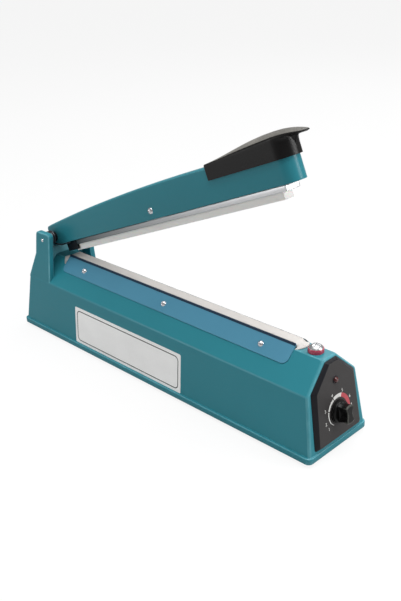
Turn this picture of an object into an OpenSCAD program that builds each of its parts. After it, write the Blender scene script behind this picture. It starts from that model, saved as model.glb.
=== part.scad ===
// Hand impulse bag sealer: a long moulded casing with a heated line along its ridge,
// and a hinged arm that presses a rubber-faced bar down on it.
// Millimetres, +Z up, +X toward the control panel, the arm shown open as at rest.
// Casing coordinates start at the hinge end of the flange's underside.
// Arm coordinates start at the hinge pin and run along the arm.

/* [Casing] */
// Length of the bottom flange
body_l = 411; // [360:1:460]
// Width of the bottom flange
body_w = 80; // [72:1:96]
// Height of the bottom flange
flange_h = 6; // [4:0.5:10]
// How far the flange stands out from the walls
flange_step = 1.5; // [1:0.1:3]
// Plan radius of the flange's corners
corner_r = 6; // [4:0.5:10]
// Plan radius of the casing's upright corners
wall_r = 3; // [2:0.5:5]
// Height of the edge between wall and shoulder
shoulder_z = 59; // [52:1:66]
// Lean of the long walls in degrees
side_draft = 5.55; // [3:0.05:8]
// Height of the ridge
top_z = 82; // [76:1:90]
// Width of the ridge
top_w = 17.2; // [16:0.2:22]
// Lean of the panel end in degrees
face_lean = 7.5; // [4:0.1:10]
// Lean of the hinge end below the shoulder in degrees
hinge_lean = 10.1; // [6:0.1:14]
// Lean of the hinge end above the shoulder in degrees
back_slope = 27; // [20:0.5:34]
// Softened width on each side of the long edges
edge_soft = 1.4; // [0.6:0.1:2]
// Wall thickness
wall = 2.6; // [2:0.1:3.2]

/* [Hinge] */
// Pin centre from the hinge end of the flange
pin_x = 40.5; // [36:0.5:46]
// Pin centre above the flange's underside
pin_z = 104.5; // [100:0.5:110]
// Pin diameter
pin_d = 5; // [4:0.1:6]
// Ear thickness
ear_t = 6; // [5:0.1:9]
// Ear height above the pin
ear_rise = 8.5; // [7:0.5:12]
// Ear reach in front of the pin, at the pin
ear_front = 12; // [10:0.5:15]
// Ear corner radius
ear_r = 4; // [2:0.5:6]
// Wire diameter of the return springs
spring_wire = 1.6; // [1.2:0.1:1.8]
// Mean radius of the return springs
spring_r = 7; // [6.6:0.1:7.4]
// Most turns of each return spring, fewer where the room beside the arm is narrow
spring_turns = 3; // [1:1:3]
// Spacing of the spring turns
spring_pitch = 2.15; // [2.1:0.01:2.2]

/* [Arm] */
// Arm angle above level when open, in degrees
open_angle = 21.8; // [15:0.1:26]
// From the centre of the round nose to the panel end of the flange
arm_back = 28.5; // [24:0.5:34]
// Arm width
arm_w = 23; // [20:0.5:28]
// Arm wall thickness
arm_wall = 2.2; // [1.6:0.1:3]
// From the pin down to the arm's lower edge
arm_drop = 9.4; // [8.5:0.1:11]
// From the pin up to the highest point of the arched top
arm_crown = 21.8; // [18:0.1:26]
// Where along the arm the arched top is highest
crown_u = 208; // [180:1:230]
// Radius of the arched top
crown_r = 2500; // [2000:50:3200]
// From the pin back to the end of the tail
tail_l = 11.5; // [10:0.5:13]

/* [Handle] */
// From the handle's start to the centre of the round nose
handle_l = 78; // [66:1:92]
// How far the handle stands out from the arm's sides
handle_out = 2.3; // [1.8:0.1:4]
// Height of the skirt's lower edge above the pin line
skirt_low = 10; // [6:0.5:13]
// Height of the side edge where the handle starts
crease_w = 23.7; // [23.2:0.1:26]
// Rise of the side edge per millimetre along the arm
crease_rise = 0.0463; // [0.03:0.001:0.06]
// Height of the crowned top above the side edge
crown_h = 4.5; // [2:0.1:6]
// How much the crown's highest point leans to the beak, 1 for the middle
crown_lead = 1.2; // [0.8:0.05:1.4]
// Reach of the beak past the nose centre
beak_l = 29; // [22:0.5:34]
// Radius under the beak
beak_r = 8; // [5:0.5:10]

/* [Press bar] */
// Bar width
bar_w = 16; // [14:0.2:17]
// Bar height
bar_h = 5; // [4.6:0.1:6]
// Gap between the arm's lower edge and the bar
bar_gap = 0.3; // [0.3:0.1:1]
// Where the bar starts along the arm
bar_start = 31; // [28:1:40]
// How far the bar stops short of the nose centre
bar_short = 3; // [2:0.5:12]
// Silicone strip width
strip_w = 11; // [10:0.2:12]
// Silicone strip height below the bar
strip_h = 6.5; // [5:0.1:8]
// Where the silicone strip starts along the arm
strip_start = 24.8; // [24:0.2:28]
// How far the silicone strip runs past the nose centre
strip_past = 2; // [1:0.5:4]
// Where the end block starts along the arm
cap_start = 12; // [10:0.5:16]
// Side screw past the arm's middle
pivot_shift = 2.9; // [-10:0.1:10]
// Side screw below the pin line
pivot_drop = 1.3; // [0:0.1:2.5]
// Side screw diameter
pivot_d = 4; // [3:0.1:5]

/* [Seal line] */
// From the hinge end of the flange to the sealing bar
seal_start = 60.5; // [58:0.5:64]
// From the sealing bar's end to the plunger's centre
seal_gap = 18.9; // [18.4:0.1:24]
// Width of the sealing bar
seal_w = 9.9; // [9:0.1:10]
// Depth of the groove that holds the sealing bar
groove_depth = 8; // [7:0.5:9]
// How far the sealing bar stands above the ridge
seal_rise = 3.1; // [2.8:0.1:4]
// Insulation thickness
insul_t = 0.4; // [0.3:0.05:0.6]
// Heating ribbon thickness
ribbon_t = 0.25; // [0.15:0.05:0.3]
// Heating ribbon width
ribbon_w = 2.6; // [2:0.1:4]
// Cloth thickness
cloth_t = 0.4; // [0.3:0.05:0.5]
// Length of a terminal block
term_l = 7.6; // [7:0.1:7.8]
// Height of a terminal block
term_h = 5.5; // [5:0.1:6]

/* [Clamp plates] */
// How far a clamp plate runs past each end of the sealing bar
plate_over = 3; // [1:0.1:4]
// Lower edge of a plate, up the slope from the shoulder
plate_low = 18; // [17.6:0.2:22]
// Plate thickness
plate_t = 1; // [0.8:0.1:1.4]
// Depth of the seat moulded for the plate
plate_seat = 0.3; // [0.2:0.1:0.9]
// Radius of the plate's lower corners
plate_r = 6; // [3:0.5:9]
// Outer plate screws from the plate's ends
plate_screw_in = 32.7; // [20:0.1:50]
// Plate screws up the slope from the shoulder
plate_screw_s = 26.8; // [24:0.2:29]
// Head radius of the plate screws
plate_head_r = 3; // [2.4:0.1:3.6]

/* [Switch] */
// From the plunger's centre to the panel end of the flange
plunger_back = 25.6; // [24:0.2:27]
// Radius of the red button
button_r = 7; // [6:0.1:7.2]
// Height of the red button above the ridge
button_rise = 4.2; // [4:0.1:5]
// Radius of the bright screw head
head_r = 5.6; // [4:0.1:6]
// Height of the bright screw head
head_h = 3; // [2:0.1:3.4]
// Stem radius
stem_r = 3.5; // [3:0.1:3.8]
// Stem length below the ridge
stem_l = 14.6; // [13:0.2:16]
// Travel of the plunger
plunger_travel = 3; // [2:0.1:3]

/* [Panel] */
// Half width of the panel at the bottom
panel_low_y = 29; // [26:0.5:31]
// Half width of the panel at its upper corners
panel_mid_y = 25.8; // [23:0.2:26.4]
// Half width of the panel at the top
panel_top_y = 6.3; // [5:0.1:7]
// Panel bottom, up the end face
panel_low = 11.1; // [9:0.1:13]
// Panel upper corners, up the end face
panel_mid = 59.8; // [56:0.2:60.4]
// Panel top, up the end face
panel_top = 78.8; // [77:0.2:81.2]
// How far the panel stands proud
panel_t = 5; // [2:0.1:6]
// Corner radius of the panel
panel_r = 2.5; // [1:0.1:4]
// Lip of the end face behind the panel
panel_lip = 3.5; // [2.5:0.1:5]
// Depth of the panel's plug inside the end face
plug_t = 3.4; // [3.3:0.1:4]
// Knob axis, up the end face
knob_s = 33.8; // [28:0.2:40]
// Knob base radius
knob_r = 10; // [8:0.2:13]
// Knob height
knob_h = 12.8; // [10:0.1:18]
// Half thickness of the knob's waist
knob_waist = 3.4; // [2.6:0.1:4.4]
// Lamp centre, up the end face
led_s = 62.7; // [60:0.2:66]
// Lamp radius
led_r = 2.5; // [1.5:0.1:3]

/* [Inside] */
// Transformer centre along the casing
core_x = 160; // [130:1:220]
// Transformer core length
core_l = 75; // [66:1:84]
// Transformer core depth
core_d = 38; // [30:1:40]
// Transformer core height
core_h = 62.5; // [55:0.5:63]
// Circuit board width
board_w = 44; // [36:1:50]
// Circuit board height
board_h = 33; // [28:1:34]
// Microswitch length
micro_l = 27.8; // [24:0.2:28.4]
// Microswitch height
micro_h = 15.9; // [14:0.1:17]
// Microswitch thickness
micro_t = 10.3; // [8:0.1:10.4]
// Lead radius
lead_r = 1.2; // [0.8:0.1:1.4]

/* [Underside] */
// Base plate thickness
base_t = 1.5; // [1:0.1:2.5]
// Rim of the flange around the base plate
base_rim = 2.7; // [2:0.1:3]
// Foot height
foot_h = 3; // [2.6:0.1:6]
// Foot radius
foot_r = 7; // [5:0.5:9]
// Feet from the hinge end of the flange
foot_back = 36; // [26:1:50]
// Feet from the panel end of the flange
foot_front = 32; // [26:1:50]
// Feet from the middle
foot_y = 24; // [18:1:26]
// Base plate screws from the ends of the flange
base_screw_in = 20; // [16:1:30]
// Cord inlet height up the hinge end
inlet_s = 20; // [16:0.5:30]
// Bore radius of the cord inlet
inlet_r = 3.6; // [2.5:0.1:4.2]

/* [Fits] */
// Clearance of a piece dropped in a seat
fit = 0.15; // [0.1:0.05:0.25]
// Radial clearance of a turning or sliding fit
run = 0.05; // [0.02:0.01:0.1]
// Clearance between pieces that move past each other
pass = 0.3; // [0.3:0.05:0.6]
// Radial clearance of a screw in its hole
screw_play = 0.1; // [0.05:0.05:0.2]

/* [View] */
// Which sub-part to draw

/* [Hidden] */
$fn = 48;
eps = 0.02;
teal = [0.16, 0.41, 0.44];
blue = [0.25, 0.45, 0.58];
black = [0.08, 0.08, 0.08];
steel = [0.75, 0.75, 0.77];
alu = [0.62, 0.64, 0.65];
pale = [0.88, 0.86, 0.82];
red = [0.7, 0.08, 0.08];
brown = [0.35, 0.2, 0.1];
copper = [0.7, 0.4, 0.2];
green = [0.1, 0.35, 0.18];

// Casing outline, all from the sizes above
function wall_y(z) = body_w / 2 - flange_step - z * tan(side_draft);
function face_x(z) = body_l - flange_step - z * tan(face_lean);
function back_x(z) = flange_step + min(z, shoulder_z) * tan(hinge_lean) + max(0, z - shoulder_z) * tan(back_slope);
shoulder_y = wall_y(shoulder_z);
slope = atan2(top_z - shoulder_z, shoulder_y - top_w / 2);
ear_in_y = wall_y(pin_z) - ear_t;
knob_lift = 0.5;
overall_l = face_x(0) + (panel_t + knob_lift + knob_h) * cos(face_lean)
    - (knob_s - knob_r * 0.86) * sin(face_lean);

// Places along the casing, from its ends
plunger_x = body_l - plunger_back;
seal_l = plunger_x - seal_gap - seal_start;
seal_mid = seal_start + seal_l / 2;
plate_l = seal_l + 2 * plate_over;
plate_mid = seal_mid;
plate_pitch = plate_l / 2 - plate_screw_in;

// Places along the arm, from its round nose
arm_l = body_l - pin_x - arm_back;
handle_u = arm_l - handle_l;
bar_end = arm_l - bar_short;
strip_end = arm_l + strip_past;
pivot_u = arm_l / 2 + pivot_shift;

// Seal line heights and ends
groove_z = top_z - groove_depth;
seal_top = top_z + seal_rise;
ribbon_z = seal_top + insul_t;
cloth_z = ribbon_z + ribbon_t + 0.05;
cloth_top = cloth_z + cloth_t;
seal_x0 = seal_mid - seal_l / 2;
seal_x1 = seal_mid + seal_l / 2;
groove_hw = seal_w / 2 + fit;
groove_x0 = seal_x0 - 0.3 - term_l - 0.4;
groove_x1 = seal_x1 + 0.3 + term_l + 0.4;
cloth_hw = seal_w / 2 + fit + cloth_t;
plate_in_y = cloth_hw + 0.1;
plate_top = cloth_top - 0.2;

// Arm and bar heights below the pin line
bar_top = -arm_drop - bar_gap;
bar_low = bar_top - bar_h;
strip_low = bar_low - strip_h;
arm_in = arm_w / 2 - arm_wall;
handle_hw = arm_w / 2 + handle_out;
beak_u = arm_l + beak_l;

// Switch heights
pocket_r = button_r + pass;
pocket_z = top_z - 0.1 - plunger_travel - 0.4;
stem_low = top_z - 0.1 - stem_l;
micro_top = stem_low - plunger_travel - 0.5;
rib_x = plunger_x + micro_t / 2 + 0.1;

// Shared screw places
base_spots = [for (x = [base_screw_in, body_l / 2, body_l - base_screw_in], y = [-1, 1])
    [x, y * (wall_y(8) - wall - 2.6)]];
foot_spots = [for (x = [foot_back, body_l - foot_front], y = [-foot_y, foot_y]) [x, y]];
strap_x = core_l / 2 + 7;
bar_screw_x = [seal_mid - seal_l * 0.36, seal_mid, seal_mid + seal_l * 0.36];
plate_spots = [for (i = [-1, 0, 1]) plate_mid + i * plate_pitch];
handle_spots = [handle_u + 22, arm_l - 14];
handle_bite = 2.4;

// Shared frames
module place() {
    translate([-overall_l / 2, 0, foot_h]) children();
}
module panel_place() {
    place() translate([face_x(0), 0, 0]) rotate([0, -face_lean, 0]) children();
}
module inlet_place() {
    place() translate([flange_step, 0, 0]) rotate([0, hinge_lean, 0]) translate([0, 0, inlet_s]) children();
}
module slope_place() {
    translate([0, -shoulder_y, shoulder_z]) rotate([slope, 0, 0]) children();
}
module arm_place() {
    place() translate([pin_x, 0, pin_z]) rotate([0, -open_angle, 0]) children();
}
module both_sides() {
    children();
    mirror([0, 1, 0]) children();
}
module along_x(l) {
    rotate([90, 0, 90]) linear_extrude(l) children();
}
module across_y(w) {
    rotate([90, 0, 0]) translate([0, 0, -w / 2]) linear_extrude(w) children();
}
module bore_y(r, l) {
    rotate([90, 0, 0]) cylinder(r = r, h = l, center = true);
}

// A screw with a domed head: the head stands on z = 0 and the shank goes down
module dome_screw(r, l, hr, hh) {
    ball = (hr * hr + hh * hh) / (2 * hh);
    translate([0, 0, -l]) cylinder(r = r, h = l + eps);
    intersection() {
        translate([0, 0, hh - ball]) sphere(r = ball);
        cylinder(r = hr + 1, h = hh + 1);
    }
}

// A flat slab with round corners, exact arcs
module round_slab(x0, x1, hw, r, z0, z1) {
    translate([x0 + r, -hw, z0]) cube([x1 - x0 - 2 * r, 2 * hw, z1 - z0]);
    translate([x0, -hw + r, z0]) cube([x1 - x0, 2 * hw - 2 * r, z1 - z0]);
    for (x = [x0 + r, x1 - r], y = [-hw + r, hw - r]) {
        translate([x, y, z0]) cylinder(r = r, h = z1 - z0);
    }
}

// A straight-run wire with round joints
module wire(path, r) {
    for (i = [0 : len(path) - 2]) {
        d = path[i + 1] - path[i];
        translate(path[i]) rotate([0, acos(d[2] / norm(d)), atan2(d[1], d[0])]) cylinder(r = r, h = norm(d), $fn = 16);
        if (i > 0) translate(path[i]) sphere(r = r * 1.12, $fn = 16);
    }
}

// Casing: four leaning sides, two shoulders and a ridge, drawn through rounded outlines
module level(z, x0, x1, hw, r) {
    for (x = [x0 + r, x1 - r], y = [-hw + r, hw - r]) {
        translate([x, y, z]) cylinder(r = r, h = eps, $fn = 40);
    }
}
module casing_outer() {
    low = shoulder_z - edge_soft;
    high = shoulder_z + edge_soft * sin(slope);
    under = top_z - edge_soft * sin(slope);
    hull() {
        level(flange_h / 2, back_x(flange_h / 2), face_x(flange_h / 2), wall_y(flange_h / 2), wall_r);
        level(low, back_x(low), face_x(low), wall_y(low), wall_r);
        level(high, back_x(high), face_x(high), shoulder_y - edge_soft * cos(slope), wall_r);
        level(under, back_x(under), face_x(under), top_w / 2 + edge_soft * cos(slope), wall_r);
        level(top_z - eps, back_x(top_z) + 1, face_x(top_z) - 1, top_w / 2 - edge_soft, wall_r);
    }
}
module casing_inner() {
    drop = wall * (1 / cos(slope) - tan(slope) / cos(side_draft)) / (1 - tan(side_draft) * tan(slope));
    zs = shoulder_z - drop;
    zt = top_z - wall;
    w = wall / cos(hinge_lean);
    wf = wall / cos(face_lean);
    ws = wall / cos(side_draft);
    hull() {
        level(-1, back_x(-1) + w, face_x(-1) - wf, wall_y(-1) - ws, wall_r / 2);
        level(zs, back_x(zs) + w, face_x(zs) - wf, wall_y(zs) - ws, wall_r / 2);
        level(zt - eps, back_x(zt) + wall / cos(back_slope), face_x(zt) - wf,
            top_w / 2 - wall * (1 / cos(slope) - 1) / tan(slope), 2);
    }
}

// Hinge ears: leaning slabs that carry on the wall's own plane
module ear() {
    top = pin_z + ear_rise;
    xb = back_x(shoulder_z);
    front_low = pin_x + ear_front - 3.4;
    intersection() {
        across_y(body_w) offset(r = ear_r) offset(delta = -ear_r) polygon([
            [xb + 2, shoulder_z - 16], [xb, shoulder_z], [back_x(top_z + 6), top_z + 6],
            [back_x(top_z + 6) + 2.6, top], [pin_x + ear_front + 0.6, top], [front_low, shoulder_z - 16]]);
        translate([-10, 0, 0]) along_x(100) polygon([
            [-wall_y(30), 30], [-wall_y(130), 130], [-wall_y(130) + ear_t, 130], [-wall_y(30) + ear_t, 30]]);
    }
}

// The bridge between the ears: the arm's heel stops on its middle, the springs rest on its ends
heel = norm([tail_l, arm_drop]);
heel_a = 180 + atan2(arm_drop, tail_l) + open_angle;
stop_z = pin_z + heel * sin(heel_a) - pass;
stop_x = pin_x + heel * cos(heel_a);
seat_z = pin_z - spring_r - spring_wire / 2 - 0.1;
spring_y = ear_in_y - spring_wire / 2 - 0.3;
module bridge() {
    hw = ear_in_y + 4;
    translate([stop_x - 5, -hw, shoulder_z]) cube([7, 2 * hw, stop_z - shoulder_z]);
    both_sides() translate([stop_x - 5, -hw, shoulder_z]) cube([7, hw - arm_w / 2 - 2, seat_z - shoulder_z]);
}

// Inside features that the cavity leaves standing
module inner_features() {
    translate([groove_x0 - wall, -groove_hw - wall, groove_z - wall])
        cube([groove_x1 - groove_x0 + 2 * wall, 2 * groove_hw + 2 * wall, 40]);
    translate([plunger_x, 0, pocket_z - 7]) cylinder(r = pocket_r + 1.6, h = 40);
    translate([rib_x, -micro_l / 2 - 1, micro_top - micro_h]) cube([wall, micro_l + 2, 60]);
    for (p = base_spots) {
        translate([p[0], p[1], base_t]) cylinder(r = 4, h = 14);
        translate([p[0] - 1, p[1] > 0 ? p[1] : p[1] - 8, base_t]) cube([2, 8, 14]);
    }
}

module panel_outline(shrink) {
    offset(delta = -shrink) offset(r = panel_r) offset(delta = -panel_r) polygon([
        [-panel_low_y, panel_low], [panel_low_y, panel_low], [panel_mid_y, panel_mid],
        [panel_top_y, panel_top], [-panel_top_y, panel_top], [-panel_mid_y, panel_mid]]);
}

// The seat for a clamp plate and its three screw holes, cut from the front shoulder
module plate_cut() {
    slope_place() {
        translate([plate_mid - plate_l / 2 - fit, plate_low - fit, -plate_seat]) cube([plate_l + 2 * fit, 40, 6]);
        for (x = plate_spots) {
            translate([x, plate_screw_s, -8]) cylinder(r = 1.4 + screw_play, h = 12);
        }
    }
}

module casing() {
    color(teal) place() difference() {
        union() {
            round_slab(0, body_l, body_w / 2, corner_r, 0, flange_h);
            casing_outer();
            both_sides() ear();
            bridge();
        }
        difference() {
            casing_inner();
            inner_features();
        }
        translate([0, 0, -1])
            round_slab(base_rim, body_l - base_rim, body_w / 2 - base_rim, corner_r - 2, 0, 1 + base_t);
        both_sides() plate_cut();
        translate([groove_x0, -groove_hw, groove_z]) cube([groove_x1 - groove_x0, 2 * groove_hw, 30]);
        for (x = bar_screw_x) translate([x, 0, groove_z - 9]) cylinder(r = 2 + screw_play, h = 12);
        for (x = [groove_x0 + 0.4 + term_l / 2, groove_x1 - 0.4 - term_l / 2]) {
            translate([x, 0, groove_z - 9]) cylinder(r = lead_r + 0.3, h = 12);
        }
        translate([plunger_x, 0, pocket_z]) cylinder(r = pocket_r, h = 30);
        translate([plunger_x, 0, pocket_z - 20]) cylinder(r = stem_r + run, h = 40);
        for (y = [-11.1, 11.1]) {
            translate([rib_x - 1, y, micro_top - micro_h + 3]) rotate([0, 90, 0]) cylinder(r = 1.4 + screw_play, h = 8);
        }
        for (p = base_spots) translate([p[0], p[1], -1]) cylinder(r = 1.4 + screw_play, h = 11);
        translate([pin_x, 0, pin_z]) bore_y(pin_d / 2 + run, body_w);
        translate([face_x(0), 0, 0]) rotate([0, -face_lean, 0]) translate([-wall - 1, 0, 0])
            along_x(20) panel_outline(panel_lip);
        translate([flange_step, 0, 0]) rotate([0, hinge_lean, 0]) translate([-5, 0, inlet_s])
            rotate([0, 90, 0]) cylinder(r = inlet_r + 2.4 + run, h = 14);
    }
}

module base_plate() {
    color(steel) place() difference() {
        round_slab(base_rim + fit, body_l - base_rim - fit, body_w / 2 - base_rim - fit, corner_r - 2, 0, base_t);
        for (p = base_spots) translate([p[0], p[1], -1]) cylinder(r = 1.4 + screw_play, h = 9);
        for (p = foot_spots) translate([p[0], p[1], -1]) cylinder(r = 2.5, h = 9);
        for (i = [-1, 1]) translate([core_x + i * strap_x, 0, -1]) cylinder(r = 2 + screw_play, h = 9);
        for (i = [0 : 7]) translate([core_x + strap_x + 36 + i * 9, -16, -1]) cube([3, 32, 9]);
    }
}

module base_screws() {
    color(steel) place() for (p = base_spots) translate([p[0], p[1], 0]) rotate([180, 0, 0]) dome_screw(1.4, 9, 2.8, 1.6);
}

module rubber_feet() {
    color(black) place() for (p = foot_spots) {
        translate([p[0], p[1], -foot_h]) cylinder(r1 = foot_r - 0.6, r2 = foot_r, h = foot_h);
        translate([p[0], p[1], -eps]) cylinder(r = 2.4, h = base_t + 0.1);
        translate([p[0], p[1], base_t]) cylinder(r1 = 3.6, r2 = 2.2, h = 2);
    }
}

module cord_grommet() {
    color(black) inlet_place() rotate([0, 90, 0]) difference() {
        union() {
            translate([0, 0, -2]) cylinder(r1 = inlet_r + 4, r2 = inlet_r + 4.8, h = 2);
            translate([0, 0, -eps]) cylinder(r = inlet_r + 2.4, h = wall + 0.1);
            translate([0, 0, wall + 0.02]) cylinder(r1 = inlet_r + 3.9, r2 = inlet_r + 2.6, h = 2);
        }
        translate([0, 0, -5]) cylinder(r = inlet_r, h = 20);
    }
}

// Panel: a proud six-sided plate, a plug through the end face and four snap hooks
module control_panel() {
    color(black) panel_place() difference() {
        union() {
            along_x(panel_t) panel_outline(0);
            translate([-plug_t, 0, 0]) along_x(plug_t + eps) panel_outline(panel_lip + fit);
            for (i = [-1, 1], s = [18, 46]) {
                edge = panel_low_y - panel_lip - fit - (s - panel_low) * (panel_low_y - panel_mid_y) / (panel_mid - panel_low);
                translate([-plug_t, i * (edge - 0.6) - 0.9, s]) cube([plug_t - wall - 0.05, 1.8, 8]);
            }
        }
        translate([-20, 0, knob_s]) rotate([0, 90, 0]) cylinder(r = 3.5 + run, h = 40);
        translate([-20, 0, led_s]) rotate([0, 90, 0]) cylinder(r = led_r + run, h = 40);
    }
}

module led_lamp() {
    color(red) panel_place() translate([0, 0, led_s]) rotate([0, 90, 0]) {
        translate([0, 0, -plug_t - 1]) cylinder(r = led_r, h = plug_t + 1 + panel_t);
        translate([0, 0, panel_t]) sphere(r = led_r);
        translate([0, 0, -plug_t - 1.2]) cylinder(r = led_r + 0.5, h = 1.2);
        for (y = [-1.27, 1.27]) translate([0, y, -plug_t - 3.4]) cylinder(r = 0.35, h = 3, $fn = 16);
    }
}

pot_r = 8.5;
pot_h = 9;
module potentiometer() {
    color(steel) panel_place() translate([0, 0, knob_s]) rotate([0, 90, 0]) difference() {
        union() {
            translate([0, 0, -plug_t - pot_h]) cylinder(r = pot_r, h = pot_h);
            translate([0, 0, -plug_t - eps]) cylinder(r = 3.5, h = plug_t + panel_t + 3);
            translate([6, -7, -plug_t - pot_h + 1]) cube([6, 14, 1.2]);
        }
        translate([0, 0, -plug_t - pot_h + 2]) cylinder(r = 3 + run, h = 40);
    }
}

module potentiometer_nut() {
    color(steel) panel_place() translate([panel_t, 0, knob_s]) rotate([0, 90, 0]) difference() {
        cylinder(r = 5.6, h = 2.2, $fn = 6);
        translate([0, 0, -1]) cylinder(r = 3.5 + run, h = 9);
    }
}

module potentiometer_shaft() {
    color(steel) panel_place() translate([0, 0, knob_s]) rotate([0, 90, 0])
        translate([0, 0, -plug_t - pot_h + 2.2]) cylinder(r = 3, h = plug_t + pot_h - 2.2 + panel_t + knob_lift + knob_h - 3);
}

// Knob: a low round base and a waisted grip bar that points straight up at rest
module timer_knob() {
    scoop = 16;
    color(black) panel_place() translate([panel_t + knob_lift, 0, knob_s]) rotate([0, 90, 0]) difference() {
        union() {
            cylinder(r1 = knob_r, r2 = knob_r * 0.96, h = 3.4);
            difference() {
                translate([0, 0, 1]) cylinder(r1 = knob_r * 0.94, r2 = knob_r * 0.86, h = knob_h - 1);
                for (i = [-1, 1]) translate([0, i * (scoop + knob_waist), 3.4]) cylinder(r = scoop, h = knob_h, $fn = 96);
            }
        }
        translate([0, 0, -1]) cylinder(r = 6.4, h = 4.2);
        translate([0, 0, -1]) cylinder(r = 3 + run, h = knob_h - 2);
    }
}

board_x = -plug_t - pot_h - 0.2;
module timer_board() {
    color(green) panel_place() translate([board_x - 1.6, -board_w / 2, knob_s - 20]) cube([1.6, board_w, board_h]);
}

module board_components() {
    color(black) panel_place() translate([board_x - 1.6, 0, knob_s - 20]) {
        translate([-15, -19, 4]) cube([15, 16, 12]);
        translate([-4, -18, 20]) cube([4, 10, 9]);
        for (y = [4, 15]) translate([-13, y, 9]) rotate([0, 90, 0]) cylinder(r = 4.6, h = 13);
        translate([-3, 2, 18]) cube([3, 8, 6]);
        translate([-9, 13, 18]) cube([9, 7, 11]);
    }
}

// Transformer: an E core with its winding, held down by a strap
leg_w = core_l / 3;
win_w = core_l / 6;
win_h = core_h - 2 * win_w;
module transformer_core() {
    color(steel) place() translate([core_x, 0, base_t]) difference() {
        translate([-core_l / 2, -core_d / 2, 0]) cube([core_l, core_d, core_h]);
        for (i = [-1, 1]) {
            translate([i * (leg_w + win_w) / 2 - win_w / 2, -core_d, win_w]) cube([win_w, 2 * core_d, win_h]);
        }
    }
}
module coil_ring(z0, z1, out_x, out_y, in_x, in_y) {
    translate([core_x, 0, base_t + win_w]) difference() {
        translate([-out_x, -out_y, z0]) cube([2 * out_x, 2 * out_y, z1 - z0]);
        translate([-in_x, -in_y, z0 - 1]) cube([2 * in_x, 2 * in_y, z1 - z0 + 2]);
    }
}
coil_x = leg_w / 2 + win_w - 0.3;
coil_y = core_d / 2 + win_w - 3;
module transformer_bobbin() {
    bx = leg_w / 2 + fit;
    by = core_d / 2 + fit;
    color(pale) place() {
        coil_ring(fit, 1.5, coil_x, coil_y, bx, by);
        coil_ring(1, win_h - 1, bx + 1.2, by + 1.2, bx, by);
        coil_ring(win_h - 1.5, win_h - fit, coil_x, coil_y, bx, by);
    }
}
module transformer_winding() {
    color(copper) place()
        coil_ring(1.6, win_h - 1.6, coil_x - 0.8, coil_y - 0.8, leg_w / 2 + fit + 1.3, core_d / 2 + fit + 1.3);
}
module transformer_strap() {
    hx = core_l / 2 + fit;
    color(steel) place() translate([core_x, 0, base_t]) difference() {
        union() {
            translate([-hx - 1, -14, core_h + fit]) cube([2 * hx + 2, 28, 1]);
            for (i = [-1, 1]) {
                translate([i * (hx + 0.5) - 0.5, -14, 0]) cube([1, 28, core_h + fit + 1]);
                translate([i * (hx + 7) - 7, -14, 0]) cube([14, 28, 1]);
            }
        }
        for (i = [-1, 1]) translate([i * strap_x, 0, -1]) cylinder(r = 2 + screw_play, h = 5);
    }
}
module transformer_screws() {
    color(steel) place() for (i = [-1, 1]) {
        translate([core_x + i * strap_x, 0, base_t + 1]) dome_screw(2, base_t + 2.4, 3.6, 2.4);
    }
}

module microswitch() {
    color(black) place() translate([plunger_x, 0, micro_top]) difference() {
        union() {
            translate([-micro_t / 2, -micro_l / 2, -micro_h]) cube([micro_t, micro_l, micro_h]);
            for (y = [-9, 0, 9]) translate([-0.4, y - 3, -micro_h - 5]) cube([0.8, 6, 6]);
        }
        translate([0, 0, -9]) cylinder(r = 1.6 + run, h = 20);
        for (y = [-11.1, 11.1]) {
            translate([-20, y, -micro_h + 3]) rotate([0, 90, 0]) cylinder(r = 1.4 + screw_play, h = 40);
        }
    }
}
module microswitch_button() {
    color(red) place() translate([plunger_x, 0, micro_top - 5]) cylinder(r = 1.6, h = stem_low - micro_top + 5);
}
module microswitch_screws() {
    color(steel) place() for (y = [-11.1, 11.1]) {
        translate([plunger_x - micro_t / 2, y, micro_top - micro_h + 3]) rotate([0, -90, 0])
            dome_screw(1.4, micro_t + wall + 1, 2.6, 1.6);
    }
}

module switch_plunger() {
    color(red) place() translate([plunger_x, 0, 0]) difference() {
        union() {
            translate([0, 0, top_z - 0.1]) cylinder(r1 = button_r, r2 = button_r - 0.5, h = button_rise + 0.1);
            translate([0, 0, stem_low]) cylinder(r = stem_r, h = stem_l + 1);
        }
        translate([0, 0, top_z - 8]) cylinder(r = 1.8 + screw_play, h = 30);
    }
}
module plunger_screw() {
    color(steel) place() translate([plunger_x, 0, top_z + button_rise]) dome_screw(1.8, button_rise + 7, head_r, head_h);
}

// Seal line
module seal_bar() {
    color(alu) place() difference() {
        translate([seal_x0, -seal_w / 2, groove_z]) cube([seal_l, seal_w, seal_top - groove_z]);
        for (x = bar_screw_x) translate([x, 0, groove_z - 1]) cylinder(r = 2 + screw_play, h = 8);
    }
}
module seal_bar_screws() {
    color(steel) place() for (x = bar_screw_x) {
        translate([x, 0, groove_z - wall]) rotate([180, 0, 0]) dome_screw(2, wall + 6, 3.6, 2.2);
    }
}
module insulation_strip() {
    color(brown) place() translate([seal_x0, -seal_w / 2, seal_top]) cube([seal_l, seal_w, insul_t]);
}
term_z = groove_z + term_h;
term_x = [seal_x0 - 0.3 - term_l, seal_x1 + 0.3];
module heating_element() {
    t = ribbon_t;
    color(steel) place() difference() {
        union() {
            translate([seal_x0 - 0.6, -ribbon_w / 2, ribbon_z]) cube([seal_l + 1.2, ribbon_w, t]);
            for (x = [seal_x0 - 0.6, seal_x1 + 0.6 - t]) {
                translate([x, -ribbon_w / 2, term_z]) cube([t, ribbon_w, ribbon_z + t - term_z]);
            }
            translate([term_x[0] + 1, -ribbon_w / 2 - 1, term_z]) cube([term_l - 1.3 + t, ribbon_w + 2, t]);
            translate([term_x[1] + 0.3 - t, -ribbon_w / 2 - 1, term_z]) cube([term_l - 1.3 + t, ribbon_w + 2, t]);
        }
        for (x = term_x) translate([x + term_l / 2, 0, term_z - 1]) cylinder(r = 1.2 + screw_play, h = 4);
    }
}
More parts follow.
